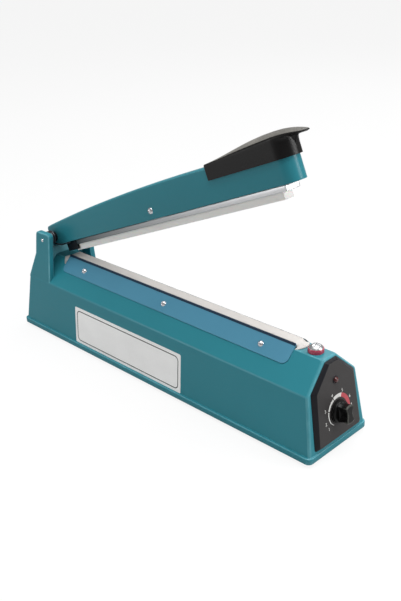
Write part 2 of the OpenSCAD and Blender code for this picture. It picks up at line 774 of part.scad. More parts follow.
module element_terminals() {
    color(brown) place() for (x = term_x) difference() {
        translate([x, -seal_w / 2 + fit, groove_z]) cube([term_l, seal_w - 2 * fit, term_h]);
        translate([x + term_l / 2, 0, groove_z + 1]) cylinder(r = 1.2 + screw_play, h = 20);
    }
}
module terminal_screws() {
    color(steel) place() for (x = term_x) {
        translate([x + term_l / 2, 0, term_z + ribbon_t]) dome_screw(1.2, 4, 2.2, 1.3);
    }
}

// Cloth: over the ribbon, down both sides of the bar, with a flap over each terminal
module ptfe_cloth() {
    e = 0.9;
    f = 8;
    color(pale) place() {
        translate([seal_x0 - e, -cloth_hw, cloth_z]) cube([seal_l + 2 * e, 2 * cloth_hw, cloth_t]);
        both_sides() translate([seal_x0 - e, -cloth_hw, top_z + 0.1])
            cube([seal_l + 2 * e, cloth_t, cloth_top - top_z - 0.1]);
        for (i = [-1, 1]) translate([seal_mid, 0, 0]) mirror([i < 0 ? 1 : 0, 0, 0])
            across_y(2 * cloth_hw) polygon([
                [seal_l / 2 + e - 0.2, cloth_z], [seal_l / 2 + e - 0.2, cloth_top], [seal_l / 2 + e + 1, cloth_top],
                [seal_l / 2 + f, top_z + 0.9], [seal_l / 2 + f - 0.5, top_z + 0.5], [seal_l / 2 + e + 0.8, cloth_z]]);
    }
}

// Clamp plate: a bent sheet on the slope, turned up beside the cloth, lower corners rounded
function on_slope(s, n) = [-shoulder_y + s * cos(slope) - n * sin(slope), shoulder_z + s * sin(slope) + n * cos(slope)];
function slope_s(y, n) = (shoulder_y - y + n * sin(slope)) / cos(slope);
module plate_corner() {
    e = plate_l / 2;
    translate([plate_mid, 0, -5]) linear_extrude(12) polygon(concat(
        [[e - plate_r, plate_low - 2], [e + 2, plate_low - 2], [e + 2, plate_low + plate_r]],
        [for (a = [0 : -15 : -90]) [e - plate_r + plate_r * cos(a), plate_low + plate_r + plate_r * sin(a)]]));
}
module clamp_plate() {
    n0 = -plate_seat;
    n1 = plate_t - plate_seat;
    out_y = plate_in_y + plate_t;
    difference() {
        translate([plate_mid - plate_l / 2, 0, 0]) along_x(plate_l) polygon([
            on_slope(plate_low, n0), on_slope(slope_s(plate_in_y, n0), n0), [-plate_in_y, plate_top],
            [-out_y, plate_top], on_slope(slope_s(out_y, n1), n1), on_slope(plate_low, n1)]);
        slope_place() {
            plate_corner();
            translate([2 * plate_mid, 0, 0]) mirror([1, 0, 0]) plate_corner();
            for (x = plate_spots) translate([x, plate_screw_s, -5]) cylinder(r = 1.4 + screw_play, h = 12);
        }
    }
}
module front_clamp_plate() {
    color(blue) place() clamp_plate();
}
module rear_clamp_plate() {
    color(blue) place() mirror([0, 1, 0]) clamp_plate();
}
module clamp_screws() {
    color(steel) place() both_sides() slope_place() for (x = plate_spots) {
        translate([x, plate_screw_s, plate_t - plate_seat]) dome_screw(1.4, 6, plate_head_r, 2);
    }
}

// Hinge
module hinge_pin() {
    color(steel) place() translate([pin_x, 0, pin_z]) bore_y(pin_d / 2, 2 * wall_y(pin_z) - 0.6);
}
module spring_bushes() {
    r = pin_d / 2 + 2.6;
    l = ear_in_y - r * tan(side_draft) - arm_w / 2 - fit - pass;
    color(pale) place() both_sides() translate([pin_x, -arm_w / 2 - fit - l / 2, pin_z]) difference() {
        bore_y(r, l);
        bore_y(pin_d / 2 + run, l + 2);
    }
}

// Return spring: a leg on the bridge, the turns round the bush, and a leg under the arm's edge
spring_room = spring_y - arm_w / 2 - spring_wire / 2 - 0.2;
turns = max(1, min(spring_turns, floor(spring_room / spring_pitch - open_angle / 360)));
spring_end = turns * 360 + open_angle;
leg_w_arm = -arm_drop - spring_wire / 2 - 0.25;
function in_arm(u, w) = [u * cos(open_angle) - w * sin(open_angle), u * sin(open_angle) + w * cos(open_angle)];
function leg_point(u, w, y) = [in_arm(u, w)[0], -y, in_arm(u, w)[1]];
coil_y1 = spring_y - spring_pitch * spring_end / 360;
spring_path = concat(
    [for (x = [pin_x - stop_x + 3.5, 6, 2]) [-x, -spring_y, -spring_r]],
    [for (i = [0 : 1 : ceil(spring_end / 45)])
        let (a = min(i * 45, spring_end))
        [spring_r * sin(a), -spring_y + spring_pitch * a / 360, -spring_r * cos(a)]],
    [leg_point(4, -spring_r - 1.3, coil_y1), leg_point(9, leg_w_arm, arm_w / 2 + spring_wire / 2 + 0.2),
        leg_point(14, leg_w_arm, arm_w / 2 + 0.2), leg_point(24, leg_w_arm, arm_w / 2 - 1.1)]);
spring_gap = min([for (i = [0 : len(spring_path) - 1], j = [0 : len(spring_path) - 1])
    if (j > i + 5) norm(spring_path[i] - spring_path[j])]) - spring_wire;
echo(spring_gap = spring_gap);
function unit(v) = v / norm(v);
function tube_ring(path, i, r, n) =
    let (a = path[max(0, i - 1)], b = path[min(len(path) - 1, i + 1)], t = unit(b - a),
        p = unit(cross([0, 1, 0], t)), q = cross(t, p))
    [for (k = [0 : n - 1]) path[i] + r * (p * cos(k * 360 / n) + q * sin(k * 360 / n))];
module tube(path, r, n) {
    m = len(path);
    polyhedron(
        points = [for (i = [0 : m - 1]) each tube_ring(path, i, r, n)],
        faces = concat(
            [[for (k = [0 : n - 1]) k]],
            [for (i = [0 : m - 2], k = [0 : n - 1]) [i * n + k, (i + 1) * n + k, (i + 1) * n + (k + 1) % n]],
            [for (i = [0 : m - 2], k = [0 : n - 1]) [i * n + k, (i + 1) * n + (k + 1) % n, i * n + (k + 1) % n]],
            [[for (k = [n - 1 : -1 : 0]) (m - 1) * n + k]]));
}
module return_springs() {
    color(steel) place() both_sides() translate([pin_x, 0, pin_z]) tube(spring_path, spring_wire / 2, 6);
}

module heater_leads() {
    y = -coil_y + 3;
    z = base_t + win_w + 0.8;
    color(red) place() {
        wire([[term_x[0] + term_l / 2, 0, groove_z], [term_x[0] + term_l / 2, 0, groove_z - 22],
            [term_x[0] + 24, y, z], [core_x - coil_x - 0.1, y, z]], lead_r);
        wire([[term_x[1] + term_l / 2, 0, groove_z], [term_x[1] + term_l / 2, 0, groove_z - 10],
            [term_x[1] - 24, y, z], [core_x + coil_x + 0.1, y, z]], lead_r);
    }
}

// Arm: a channel with an arched top, a round nose and a rounded tail
tail_r = 6;
function arch(u) = arm_crown - crown_r + sqrt(crown_r * crown_r - pow(u - crown_u, 2));
function tail_point(d, a) = [-tail_l + tail_r + (tail_r - d) * cos(a), tail_r + 1 + (tail_r - d) * sin(a)];
module arm_form(d, low) {
    last = arm_l + arm_w / 2 - d;
    intersection() {
        across_y(80) polygon(concat(
            [[last, -low], [-tail_l + d, -low]],
            [for (a = [180 : -12 : 96]) let (p = tail_point(d, a)) [p[0], min(p[1], arch(p[0]) - d)]],
            [for (i = [0 : 36]) let (u = -tail_l + tail_r + 2 + (last + tail_l - tail_r - 2) * i / 36) [u, arch(u) - d]]));
        union() {
            translate([-tail_l + d, -arm_w / 2 + d, -low]) cube([arm_l + tail_l - d, arm_w - 2 * d, 60]);
            translate([arm_l, 0, -low]) cylinder(r = arm_w / 2 - d, h = 60);
        }
    }
}
module arm() {
    color(teal) arm_place() difference() {
        arm_form(0, arm_drop);
        difference() {
            arm_form(arm_wall, arm_drop + 5);
            bore_y(pin_d / 2 + 3, arm_w);
        }
        bore_y(pin_d / 2 + run, arm_w + 4);
        translate([pivot_u, 0, -pivot_drop]) bore_y(pivot_d / 2 + screw_play, arm_w + 4);
        for (u = handle_spots) translate([u, 0, 0]) cylinder(r = 1.6 + screw_play, h = 60);
    }
}

// Handle: a straight skirt round the arm, a crowned top and a beak past the nose
function crease(u) = crease_w + crease_rise * (u - handle_u) - 0.0046 * pow(max(0, u - arm_l - 2), 2);
function handle_y(u) = u <= arm_l - 6 ? handle_hw : handle_hw * sqrt(max(0, 1 - pow((u - arm_l + 6) / (beak_u - arm_l + 6), 2)));
function crown_at(u) = crown_h * sin(180 * pow((u - handle_u) / (beak_u + 2 - handle_u), crown_lead));
function under(u) = crease(u) - (u < arm_l + 8 ? 4 : max(1.4, 4 - (u - arm_l - 8) * 0.16));
cap_us = concat(
    [for (i = [0 : 9]) handle_u + (arm_l - 6 - handle_u) * i / 10],
    [for (a = [0 : 7 : 84]) arm_l - 6 + (beak_u - arm_l + 6) * sin(a)]);
module handle_cap() {
    n = len(cap_us) - 1;
    m = 12;
    grid = (n + 1) * (m + 1);
    polyhedron(
        points = concat(
            [for (i = [0 : n], j = [0 : m]) let (u = cap_us[i], t = 2 * j / m - 1)
                [u, t * handle_y(u), crease(u) + crown_at(u) * (1 - t * t)]],
            [for (i = [0 : n], j = [0 : m]) let (u = cap_us[i], t = 2 * j / m - 1) [u, t * handle_y(u), under(u)]]),
        faces = concat(
            [for (i = [0 : n - 1], j = [0 : m - 1]) let (k = i * (m + 1) + j) [k, k + 1, k + m + 2]],
            [for (i = [0 : n - 1], j = [0 : m - 1]) let (k = i * (m + 1) + j) [k, k + m + 2, k + m + 1]],
            [for (i = [0 : n - 1], j = [0 : m - 1]) let (k = grid + i * (m + 1) + j) [k, k + m + 2, k + 1]],
            [for (i = [0 : n - 1], j = [0 : m - 1]) let (k = grid + i * (m + 1) + j) [k, k + m + 1, k + m + 2]],
            [for (i = [0 : n - 1]) let (k = i * (m + 1)) [grid + k, k, k + m + 1]],
            [for (i = [0 : n - 1]) let (k = i * (m + 1)) [grid + k, k + m + 1, grid + k + m + 1]],
            [for (i = [0 : n - 1]) let (k = i * (m + 1) + m) [grid + k, k + m + 1, k]],
            [for (i = [0 : n - 1]) let (k = i * (m + 1) + m) [grid + k, grid + k + m + 1, k + m + 1]],
            [for (j = [0 : m - 1]) [grid + j + 1, j + 1, j]],
            [for (j = [0 : m - 1]) [grid + j + 1, j, grid + j]],
            [for (j = [0 : m - 1]) let (k = n * (m + 1) + j) [grid + k, k, k + 1]],
            [for (j = [0 : m - 1]) let (k = n * (m + 1) + j) [grid + k, k + 1, grid + k + 1]]));
}
module handle_skirt() {
    intersection() {
        union() {
            translate([handle_u, -handle_hw, skirt_low]) cube([arm_l - handle_u, 2 * handle_hw, 40]);
            translate([arm_l, 0, skirt_low]) cylinder(r = handle_hw, h = 40);
        }
        across_y(100) polygon([[handle_u - 1, 0], [handle_u - 1, crease(handle_u) - 1], [arm_l, crease(arm_l) - 1],
            [arm_l + 40, crease(arm_l) - 1], [arm_l + 40, 0]]);
    }
}
module beak_fillet() {
    top = crease(arm_l) - 1.5;
    intersection() {
        translate([arm_l, 0, 0]) rotate_extrude() difference() {
            translate([handle_hw - 1, top - beak_r]) square([beak_r + 1, beak_r]);
            translate([handle_hw + beak_r, top - beak_r - 1]) circle(r = beak_r);
        }
        linear_extrude(60) polygon(concat(
            [for (a = [-90 : 6 : 90]) [arm_l - 6 + (beak_u - arm_l + 5) * cos(a), (handle_hw - 0.05) * sin(a)]]));
    }
}
module handle() {
    color(black) arm_place() difference() {
        union() {
            handle_cap();
            handle_skirt();
            beak_fillet();
        }
        arm_form(-fit, 0);
        for (u = handle_spots) translate([u, 0, 0]) cylinder(r = 1.6 + screw_play, h = arch(u) + handle_bite + fit);
    }
}
module handle_screws() {
    color(steel) arm_place() for (u = handle_spots) {
        translate([u, 0, arch(u) - arm_wall - 0.15]) rotate([180, 0, 0]) dome_screw(1.6, arm_wall + handle_bite, 3, 2);
    }
}

// Press bar group
module bar_pivot_screw() {
    color(steel) arm_place() translate([pivot_u, -arm_w / 2, -pivot_drop]) rotate([90, 0, 0])
        dome_screw(pivot_d / 2, arm_w + 4, 3.4, 2);
}
module bar_pivot_nut() {
    color(steel) arm_place() translate([pivot_u, arm_w / 2, -pivot_drop]) rotate([-90, 0, 0]) difference() {
        cylinder(r = pivot_d, h = 3.2, $fn = 6);
        translate([0, 0, -1]) cylinder(r = pivot_d / 2 + screw_play, h = 9);
    }
}
slot_w = strip_w - 1;
neck_w = strip_w - 4.4;
slot_low = bar_low + 1.4;
slot_top = bar_top - 1.6;
module press_bar() {
    color(alu) arm_place() difference() {
        translate([bar_start, -bar_w / 2, bar_low]) cube([bar_end - bar_start, bar_w, bar_h]);
        translate([0, -slot_w / 2, slot_low]) cube([400, slot_w, slot_top - slot_low]);
        translate([0, -neck_w / 2, bar_low - 1]) cube([400, neck_w, 3]);
        for (i = [-1, 1]) translate([pivot_u + i * 11, 0, bar_low + 2]) cylinder(r = 1.5 + screw_play, h = 9);
    }
}
module pivot_bracket() {
    out = arm_in - pass - 0.6;
    color(steel) arm_place() difference() {
        union() {
            translate([pivot_u - 14.5, -out, bar_top]) cube([29, 2 * out, 1.5]);
            both_sides() {
                translate([pivot_u - 6.5, -out, bar_top]) cube([13, 1.5, -pivot_drop - bar_top]);
                translate([pivot_u, -out + 0.75, -pivot_drop]) bore_y(6.5, 1.5);
            }
        }
        translate([pivot_u, 0, -pivot_drop]) bore_y(pivot_d / 2 + run, arm_w);
        for (i = [-1, 1]) translate([pivot_u + i * 11, 0, bar_top - 1]) cylinder(r = 1.5 + screw_play, h = 9);
    }
}
module bracket_rivets() {
    color(alu) arm_place() for (i = [-1, 1]) {
        translate([pivot_u + i * 11, 0, bar_top + 1.5]) dome_screw(1.5, 3, 2.6, 1.2);
    }
}
module silicone_strip() {
    color(pale) arm_place() {
        translate([strip_start, -strip_w / 2, strip_low]) cube([strip_end - strip_start, strip_w, strip_h]);
        translate([bar_start + 0.1, -neck_w / 2 + screw_play, bar_low - eps])
            cube([bar_end - bar_start - 0.2, neck_w - 2 * screw_play, 2]);
        translate([bar_start + 0.1, -slot_w / 2 + screw_play, slot_low + screw_play])
            cube([bar_end - bar_start - 0.2, slot_w - 2 * screw_play, slot_top - slot_low - 2 * screw_play]);
    }
}
module bar_end_cap() {
    color(black) arm_place() difference() {
        translate([cap_start, -bar_w / 2, strip_low + 1.7]) cube([bar_start - cap_start, bar_w, bar_top - strip_low - 1.7]);
        translate([strip_start - 0.2, -strip_w / 2 - 0.2, strip_low - 1]) cube([40, strip_w + 0.4, strip_h + 1.2]);
    }
}

casing();
base_plate();
base_screws();
rubber_feet();
cord_grommet();
control_panel();
led_lamp();
potentiometer();
potentiometer_nut();
potentiometer_shaft();
timer_knob();
timer_board();
board_components();
transformer_core();
transformer_bobbin();
transformer_winding();
transformer_strap();
transformer_screws();
microswitch();
microswitch_button();
microswitch_screws();
switch_plunger();
plunger_screw();
seal_bar();
seal_bar_screws();
insulation_strip();
heating_element();
element_terminals();
terminal_screws();
ptfe_cloth();
front_clamp_plate();
rear_clamp_plate();
clamp_screws();
hinge_pin();
spring_bushes();
return_springs();
heater_leads();
arm();
handle();
handle_screws();
bar_pivot_screw();
bar_pivot_nut();
press_bar();
pivot_bracket();
bracket_rivets();
silicone_strip();
bar_end_cap();
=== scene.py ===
"""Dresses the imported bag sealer: moulded shell, sealing line, arm, handle, dial and studio.

Shapes are worked out in millimetres from the hinge end of the casing's underside, as the solids are,
and put into the frame in metres.
"""

import math

import bmesh
import bpy
import numpy as np
from mathutils import Matrix, Vector


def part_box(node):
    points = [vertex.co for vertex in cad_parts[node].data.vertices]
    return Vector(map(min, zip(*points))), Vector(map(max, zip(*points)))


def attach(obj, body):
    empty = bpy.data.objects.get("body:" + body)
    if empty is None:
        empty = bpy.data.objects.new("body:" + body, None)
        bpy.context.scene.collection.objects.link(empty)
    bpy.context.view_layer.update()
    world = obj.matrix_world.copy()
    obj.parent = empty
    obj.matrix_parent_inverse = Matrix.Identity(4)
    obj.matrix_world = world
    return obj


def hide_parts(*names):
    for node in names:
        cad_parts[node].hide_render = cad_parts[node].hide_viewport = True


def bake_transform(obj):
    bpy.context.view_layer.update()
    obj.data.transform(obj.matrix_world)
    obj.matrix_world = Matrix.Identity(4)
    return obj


bl_info = {
    "name": "Bag sealer looks",
    "version": (1, 0, 0),
    "blender": (4, 5, 0),
    "location": "3D View > Sidebar > Sealer",
    "description": "Builds the visible pieces, finishes and studio of a hand bag sealer",
    "category": "Object",
}

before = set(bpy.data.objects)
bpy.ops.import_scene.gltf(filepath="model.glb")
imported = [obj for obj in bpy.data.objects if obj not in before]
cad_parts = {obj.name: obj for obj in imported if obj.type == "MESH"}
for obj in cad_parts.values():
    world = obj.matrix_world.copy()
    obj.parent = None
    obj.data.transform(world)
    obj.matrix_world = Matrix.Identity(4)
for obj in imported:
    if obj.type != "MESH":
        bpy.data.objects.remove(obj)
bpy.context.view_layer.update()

MM = 0.001
WELD = 2e-6
SHARP = 35.0
HEAD_SHARP = 50.0
CASING_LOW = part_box("casing")[0]
START = np.array([CASING_LOW.x, 0.0, CASING_LOW.z])

# The casing: its walls and ends start a step inside the flange's edge and lean inward.
LENGTH = 411.0
HALF_WIDTH = 40.0
FLANGE_STEP = 1.5
SHOULDER_Z = 59.0
RIDGE_Z = 82.0
RIDGE_HALF = 8.6
DRAFT = math.radians(5.55)
FACE_LEAN = math.radians(7.5)
FACE_OUT = 1.0
HINGE_LEAN = math.radians(10.1)
BACK_SLOPE = math.radians(27.0)

# The hinge, and the arm with its handle, in places along the arm from the pin.
PIN = np.array([40.5, 0.0, 104.5])
OPEN = math.radians(21.8)
EAR_THICK = 6.0
NOSE_U = 342.0
ARM_HALF = 11.5
ARM_LOW = -9.4
ARM_TAIL = -8.5
HANDLE_U = 264.0
HANDLE_HALF = 13.8
HANDLE_HOLLOW = 10.5
BEAK_U = 336.0
BEAK_REACH = 35.0
HOOK_U = 355.8
HOOK_R = 8.0
PIVOT_U = 173.9
PIVOT_W = -1.3

# The sealing line along the ridge.
SEAL_START = 60.5
SEAL_END = 366.5
PLATE_OUT = 0.7
PLATE_CORNER = 6.0
PLATE_SCREWS = (90.2, 213.5, 336.8)
PLATE_SCREW_UP = 26.8
CLOTH_REST = 82.25
PLUNGER_X = 385.4
BUTTON_TOP = 3.85

# The panel, in places outward from the end face and up along it.
KNOB_S = 33.8
KNOB_OUT = 4.9
LAMP_S = 62.7
PANEL_OUT = 4.3
PANEL_ROUND = 2.5
DIAL_IN = 12.0
NUMERAL_HIGH = 4.2
PANEL_BASE = [(-31.0, 8.4), (31.0, 8.4), (28.7, 60.6), (7.2, 80.6), (-7.2, 80.6), (-28.7, 60.6)]
PANEL_FRONT = [(-27.7, 10.4), (27.7, 10.4), (24.8, 59.2), (5.6, 79.0), (-5.6, 79.0), (-24.8, 59.2)]
FACE_OUTWARD = (math.cos(FACE_LEAN), 0.0, math.sin(FACE_LEAN))


def tint(red, green, blue):
    """Turns a colour written in 0 to 255 screen values into the linear values that shaders use."""
    c = np.array([red, green, blue]) / 255.0
    linear = np.where(c <= 0.04045, c / 12.92, ((c + 0.055) / 1.055) ** 2.4)
    return tuple(linear.tolist())


def colour_prop(name, description, red, green, blue):
    """A colour setting whose default is written in screen values."""
    return bpy.props.FloatVectorProperty(
        name=name, description=description, subtype="COLOR", size=3, min=0.0, max=1.0,
        default=tint(red, green, blue))


def length_prop(name, description, millimetres, low, high):
    """A length setting whose default and limits are written in millimetres."""
    return bpy.props.FloatProperty(
        name=name, description=description, unit="LENGTH", precision=5,
        default=millimetres * MM, min=low * MM, max=high * MM)


class SealerSizes(bpy.types.PropertyGroup):
    """Roundings and small sizes that the solids leave to the looks."""

    shoulder_round: length_prop(
        "Shoulder rounding", "Radius of the long edge between wall and shoulder", 3.6, 1, 8)
    ridge_round: length_prop("Ridge rounding", "Radius of the ridge's long edges", 2.0, 0.5, 4)
    rim_round: length_prop("End rim rounding", "Radius of the end faces' upper rim", 2.0, 1, 5)
    corner_round: length_prop("Corner rounding", "Plan radius of the casing's upright corners", 2.5, 1, 5)
    arm_round: length_prop("Arm rounding", "Radius along the arm's top edges", 2.0, 0.6, 4)
    plate_bend: length_prop("Plate bend", "Outside radius of the clamp plates' bend", 1.5, 1.1, 3)
    cloth_wave: length_prop("Cloth ripple", "Height of the ripples in the cloth", 0.05, 0, 0.2)
    recess_depth: length_prop("Screw recess", "Depth of the cross recess in the screw heads", 0.9, 0.2, 1.4)


class SealerColours(bpy.types.PropertyGroup):
    """Main colours of the pieces."""

    shell: colour_prop("Shell", "Moulded casing and arm", 44, 126, 139)
    plate: colour_prop("Plate", "Painted clamp plates", 76, 136, 162)
    panel: colour_prop("Panel", "Printed face of the end panel", 54, 52, 52)
    handle: colour_prop("Handle", "Grained handle", 15, 14, 14)
    knob: colour_prop("Knob", "Timer knob", 9, 9, 9)
    cloth: colour_prop("Cloth", "Non-stick cloth", 202, 198, 194)
    strip: colour_prop("Strip", "Silicone strip", 242, 241, 237)
    button: colour_prop("Button", "Switch button", 160, 52, 76)
    label: colour_prop("Label", "Bare label", 248, 248, 247)
    print_red: colour_prop("Red print", "High part of the dial's scale", 176, 62, 72)


def size(key):
    """One of the sidebar's sizes in millimetres."""
    return getattr(bpy.context.scene.sealer_sizes, key) / MM


def wall_y(z):
    """Half width of the casing's leaning walls at height z."""
    return HALF_WIDTH - FLANGE_STEP - z * math.tan(DRAFT)


def face_x(z):
    """Panel end of the casing at height z, before its rim is rounded."""
    return LENGTH - FLANGE_STEP - z * math.tan(FACE_LEAN)


def back_x(z):
    """Hinge end at height z: a steep line that bends softly into a flatter one at the shoulder."""
    soft = 2.0
    rise = z - SHOULDER_Z
    bend = 0.5 * (rise + np.sqrt(rise * rise + soft * soft))
    steep = math.tan(HINGE_LEAN)
    return FLANGE_STEP + z * steep + (math.tan(BACK_SLOPE) - steep) * bend


SHOULDER_Y = wall_y(SHOULDER_Z)
SLOPE = math.atan2(RIDGE_Z - SHOULDER_Z, SHOULDER_Y - RIDGE_HALF)


def seated(points):
    """Casing millimetres to frame metres."""
    return np.asarray(points, float) * MM + START


def leaned(points, angle):
    """Places (along, across, up) turned about the crosswise axis, so that along rises by the angle."""
    along, across, up = np.moveaxis(np.asarray(points, float), -1, 0)
    c, s = math.cos(angle), math.sin(angle)
    return np.stack([along * c - up * s, across, along * s + up * c], -1)


def on_arm(points):
    """Arm places (along, across, up from the pin) turned by the open angle and moved to the pin."""
    return leaned(points, OPEN) + PIN


def on_panel(points):
    """Panel places (outward, across, up the face) put on the leaning end face."""
    return leaned(points, FACE_LEAN) + np.array([face_x(0.0), 0.0, 0.0])


def on_slope(points, side=-1):
    """Shoulder places (along, up the slope, outward) put on the front (-1) or rear (1) shoulder."""
    along, up, out = np.moveaxis(np.asarray(points, float), -1, 0)
    c, s = math.cos(SLOPE), math.sin(SLOPE)
    return np.stack([along, side * (SHOULDER_Y - up * c + out * s), SHOULDER_Z + up * s + out * c], -1)


def arc(radius, x):
    """Height of a circle above the level of its centre, x away from the centre, and 0 past its edge."""
    return np.sqrt(np.maximum(radius ** 2 - np.square(x), 0.0))


def eased(v):
    """A soft step that goes from 0 to 1 as v does."""
    v = np.clip(v, 0, 1)
    return v * v * (3 - 2 * v)


def circle(sides):
    """Even angles once round."""
    return np.linspace(0, 2 * math.pi, sides, endpoint=False)


def legs(path):
    """Lengths of a polyline's legs."""
    return np.linalg.norm(np.diff(path, axis=0), axis=1)


def rectangle(x0, y0, x1, y1):
    """Corners in the order that outlines take."""
    return [(x0, y0), (x1, y0), (x1, y1), (x0, y1)]


def rounded_path(corners, radii, steps=6, guard=0.4):
    """A polyline whose inner corners become arcs that touch both legs, with a guard point beside each arc."""
    c = np.asarray(corners, float)
    parts = [c[:1]]
    for a, b, d, r in zip(c[:-2], c[1:-1], c[2:], radii):
        u = (a - b) / np.linalg.norm(a - b)
        v = (d - b) / np.linalg.norm(d - b)
        half = 0.5 * math.acos(float(np.clip(u @ v, -1, 1)))
        reach = r / math.tan(half)
        centre = b + (u + v) / np.linalg.norm(u + v) * r / math.sin(half)
        first, last = b + u * reach - centre, b + v * reach - centre
        sweep = math.pi - 2 * half
        k = np.linspace(0, 1, steps + 1)[:, None]
        bow = centre + (np.sin((1 - k) * sweep) * first + np.sin(k * sweep) * last) / math.sin(sweep)
        parts += [(bow[0] + u * guard)[None], bow, (bow[-1] + v * guard)[None]]
    parts.append(c[-1:])
    return np.vstack(parts)


def densify(path, step):
    """The same polyline with extra points, so that no leg is longer than step."""
    counts = np.maximum(1, np.ceil(legs(path) / step).astype(int))
    first = np.repeat(np.arange(len(counts)), counts)
    inside = np.arange(counts.sum()) - np.repeat(np.cumsum(counts) - counts, counts)
    share = (inside / counts[first])[:, None]
    points = path[first] * (1 - share) + path[first + 1] * share
    return np.vstack([points, path[-1:]])


def rounded_outline(corners, radius, inset=0.0, steps=6):
    """An outline, moved in by inset, whose corners are arcs about fixed centres: inside it at outward
    corners and outside it at inward ones."""
    c = np.asarray(corners, float)
    way = np.roll(c, -1, 0) - c
    way /= np.linalg.norm(way, axis=1)[:, None]
    inward = np.stack([-way[:, 1], way[:, 0]], -1)
    before = np.roll(inward, 1, 0)
    match = np.sum(before * inward, 1)
    middle = (before + inward) / (1 + match)[:, None]
    bend = np.where(before[:, :1] * inward[:, 1:] < before[:, 1:] * inward[:, :1], -1.0, 1.0)
    r = bend * np.maximum(radius - bend * inset, 0.02)
    centre = c + middle * (inset + r)
    k = np.linspace(0, 1, steps + 1)[None, :, None]
    turn = np.arccos(np.clip(match, -1, 1))[:, None, None]
    normal = (np.sin((1 - k) * turn) * before[:, None] + np.sin(k * turn) * inward[:, None]) / np.sin(turn)
    return (centre[:, None] - r[:, None] * normal).reshape(-1, 2)


def slab(corners, radius, levels, steps=6):
    """A plate as rings of the outline: each level is (inset, height). Returns rings of (x, y, height)."""
    return np.stack([np.insert(rounded_outline(corners, radius, inset, steps), 2, height, axis=1)
                     for inset, height in levels])


def rect_rings(x0, x1, half, r, z, steps=8):
    """Level rounded rectangles: arcs about four corner centres, with a guard point on each straight side."""
    given = np.broadcast_arrays(x0, x1, half, r, z)
    x0, x1, half, r, z = (np.asarray(v, float)[:, None, None] for v in given)
    r = np.minimum(r, half * 0.999)
    corner = np.arange(4)[None, :, None]
    centre_x = np.where((corner == 0) | (corner == 3), x1 - r, x0 + r)
    centre_y = np.where(corner < 2, half - r, r - half)
    share = np.concatenate([[0], np.linspace(0, 1, steps + 1), [1]])
    slip = np.concatenate([[-1.0], np.zeros(steps + 1), [1.0]]) * np.minimum(0.8, 0.3 * half)
    a = (corner + share) * math.pi / 2
    x = centre_x + r * np.cos(a) - slip * np.sin(a)
    y = centre_y + r * np.sin(a) + slip * np.cos(a)
    rings = np.stack([x, y, np.broadcast_to(z, x.shape)], -1)
    return rings.reshape(len(rings), -1, 3)


def skin(rings, caps=True, around=False):
    """Quads between neighbouring rings of a grid, each ring closed, the end rings capped or joined."""
    n, m = rings.shape[:2]
    index = np.arange(n * m).reshape(n, m)
    if around:
        index = np.vstack([index, index[:1]])
    beside = np.roll(index, -1, axis=1)
    quads = np.stack([index[:-1], beside[:-1], beside[1:], index[1:]], -1).reshape(-1, 4).tolist()
    if caps and not around:
        quads += [index[0][::-1].tolist(), index[-1].tolist()]
    return rings.reshape(-1, 3), quads


def tube(path, radius, sides=14):
    """A round section carried along a path, its frame held by the crosswise axis."""
    t = np.gradient(path, axis=0)
    t /= np.linalg.norm(t, axis=1)[:, None]
    side = np.cross(np.array([0.0, 1.0, 0.0]), t)
    side /= np.linalg.norm(side, axis=1)[:, None]
    up = np.cross(t, side)
    a = circle(sides)[None, :, None]
    return skin(path[:, None] + radius * (np.cos(a) * side[:, None] + np.sin(a) * up[:, None]))


def aimed(rings, centre, axis):
    """Turns rings whose height runs along +Z so that it runs along axis, and moves them to centre."""
    turn = np.array(Vector((0, 0, 1)).rotation_difference(Vector(axis)).to_matrix())
    return rings @ turn.T + np.asarray(centre, float)


def lathe(profile, sides, centre, axis=(0, 0, 1), around=False):
    """A profile of (radius, height) turned about an axis, on which it ends, unless it closes on itself."""
    r, height = np.asarray(profile, float).T[..., None]
    a = circle(sides)
    rings = np.stack([r * np.cos(a), r * np.sin(a), np.repeat(height, sides, 1)], -1)
    return skin(aimed(rings, centre, axis), False, around)


def placed(name, data):
    """A new object in the scene."""
    thing = bpy.data.objects.new(name, data)
    bpy.context.scene.collection.objects.link(thing)
    return thing


def welded(name, parts, outward=True):
    """An object of (points, faces) parts in casing millimetres: close points joined, faces turned outward."""
    faces, start = [], 0
    for points, part_faces in parts:
        faces += [[i + start for i in face] for face in part_faces]
        start += len(points)
    mesh = bpy.data.meshes.new(name)
    mesh.from_pydata(seated(np.vstack([points for points, _ in parts])).tolist(), [], faces)
    work = bmesh.new()
    work.from_mesh(mesh)
    bmesh.ops.remove_doubles(work, verts=work.verts, dist=WELD)
    if outward:
        bmesh.ops.recalc_face_normals(work, faces=work.faces)
    work.to_mesh(mesh)
    work.free()
    return placed(name, mesh)


def piece(name, parts, body, look, nodes=(), sharp=SHARP, closed=True):
    """Makes one smooth object from parts, gives it a finish and lets it ride a body in place of its nodes."""
    thing = welded(name, parts, closed)
    mesh = thing.data
    mesh.validate()
    mesh.shade_smooth()
    mesh.set_sharp_from_angle(angle=math.radians(sharp))
    mesh.materials.append(finish(look))
    if body:
        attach(thing, body)
    if nodes:
        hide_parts(*nodes)
    return thing


def pulled(items, key, width=None, kind=float):
    """One property of all of a mesh's items as an array, with width columns where it has several values."""
    values = np.empty(len(items) * (width or 1), kind)
    items.foreach_get(key, values)
    return values.reshape(-1, width) if width else values


def paint(thing, look, chosen):
    """Gives a second finish to the faces that chosen picks by their centres in casing millimetres and their
    normals."""
    mesh = thing.data
    mask = chosen((pulled(mesh.polygons, "center", 3) - START) / MM, pulled(mesh.polygons, "normal", 3))
    mesh.materials.append(finish(look))
    mesh.polygons.foreach_set("material_index", mask.astype(np.int32) * (len(mesh.materials) - 1))
    mesh.update()


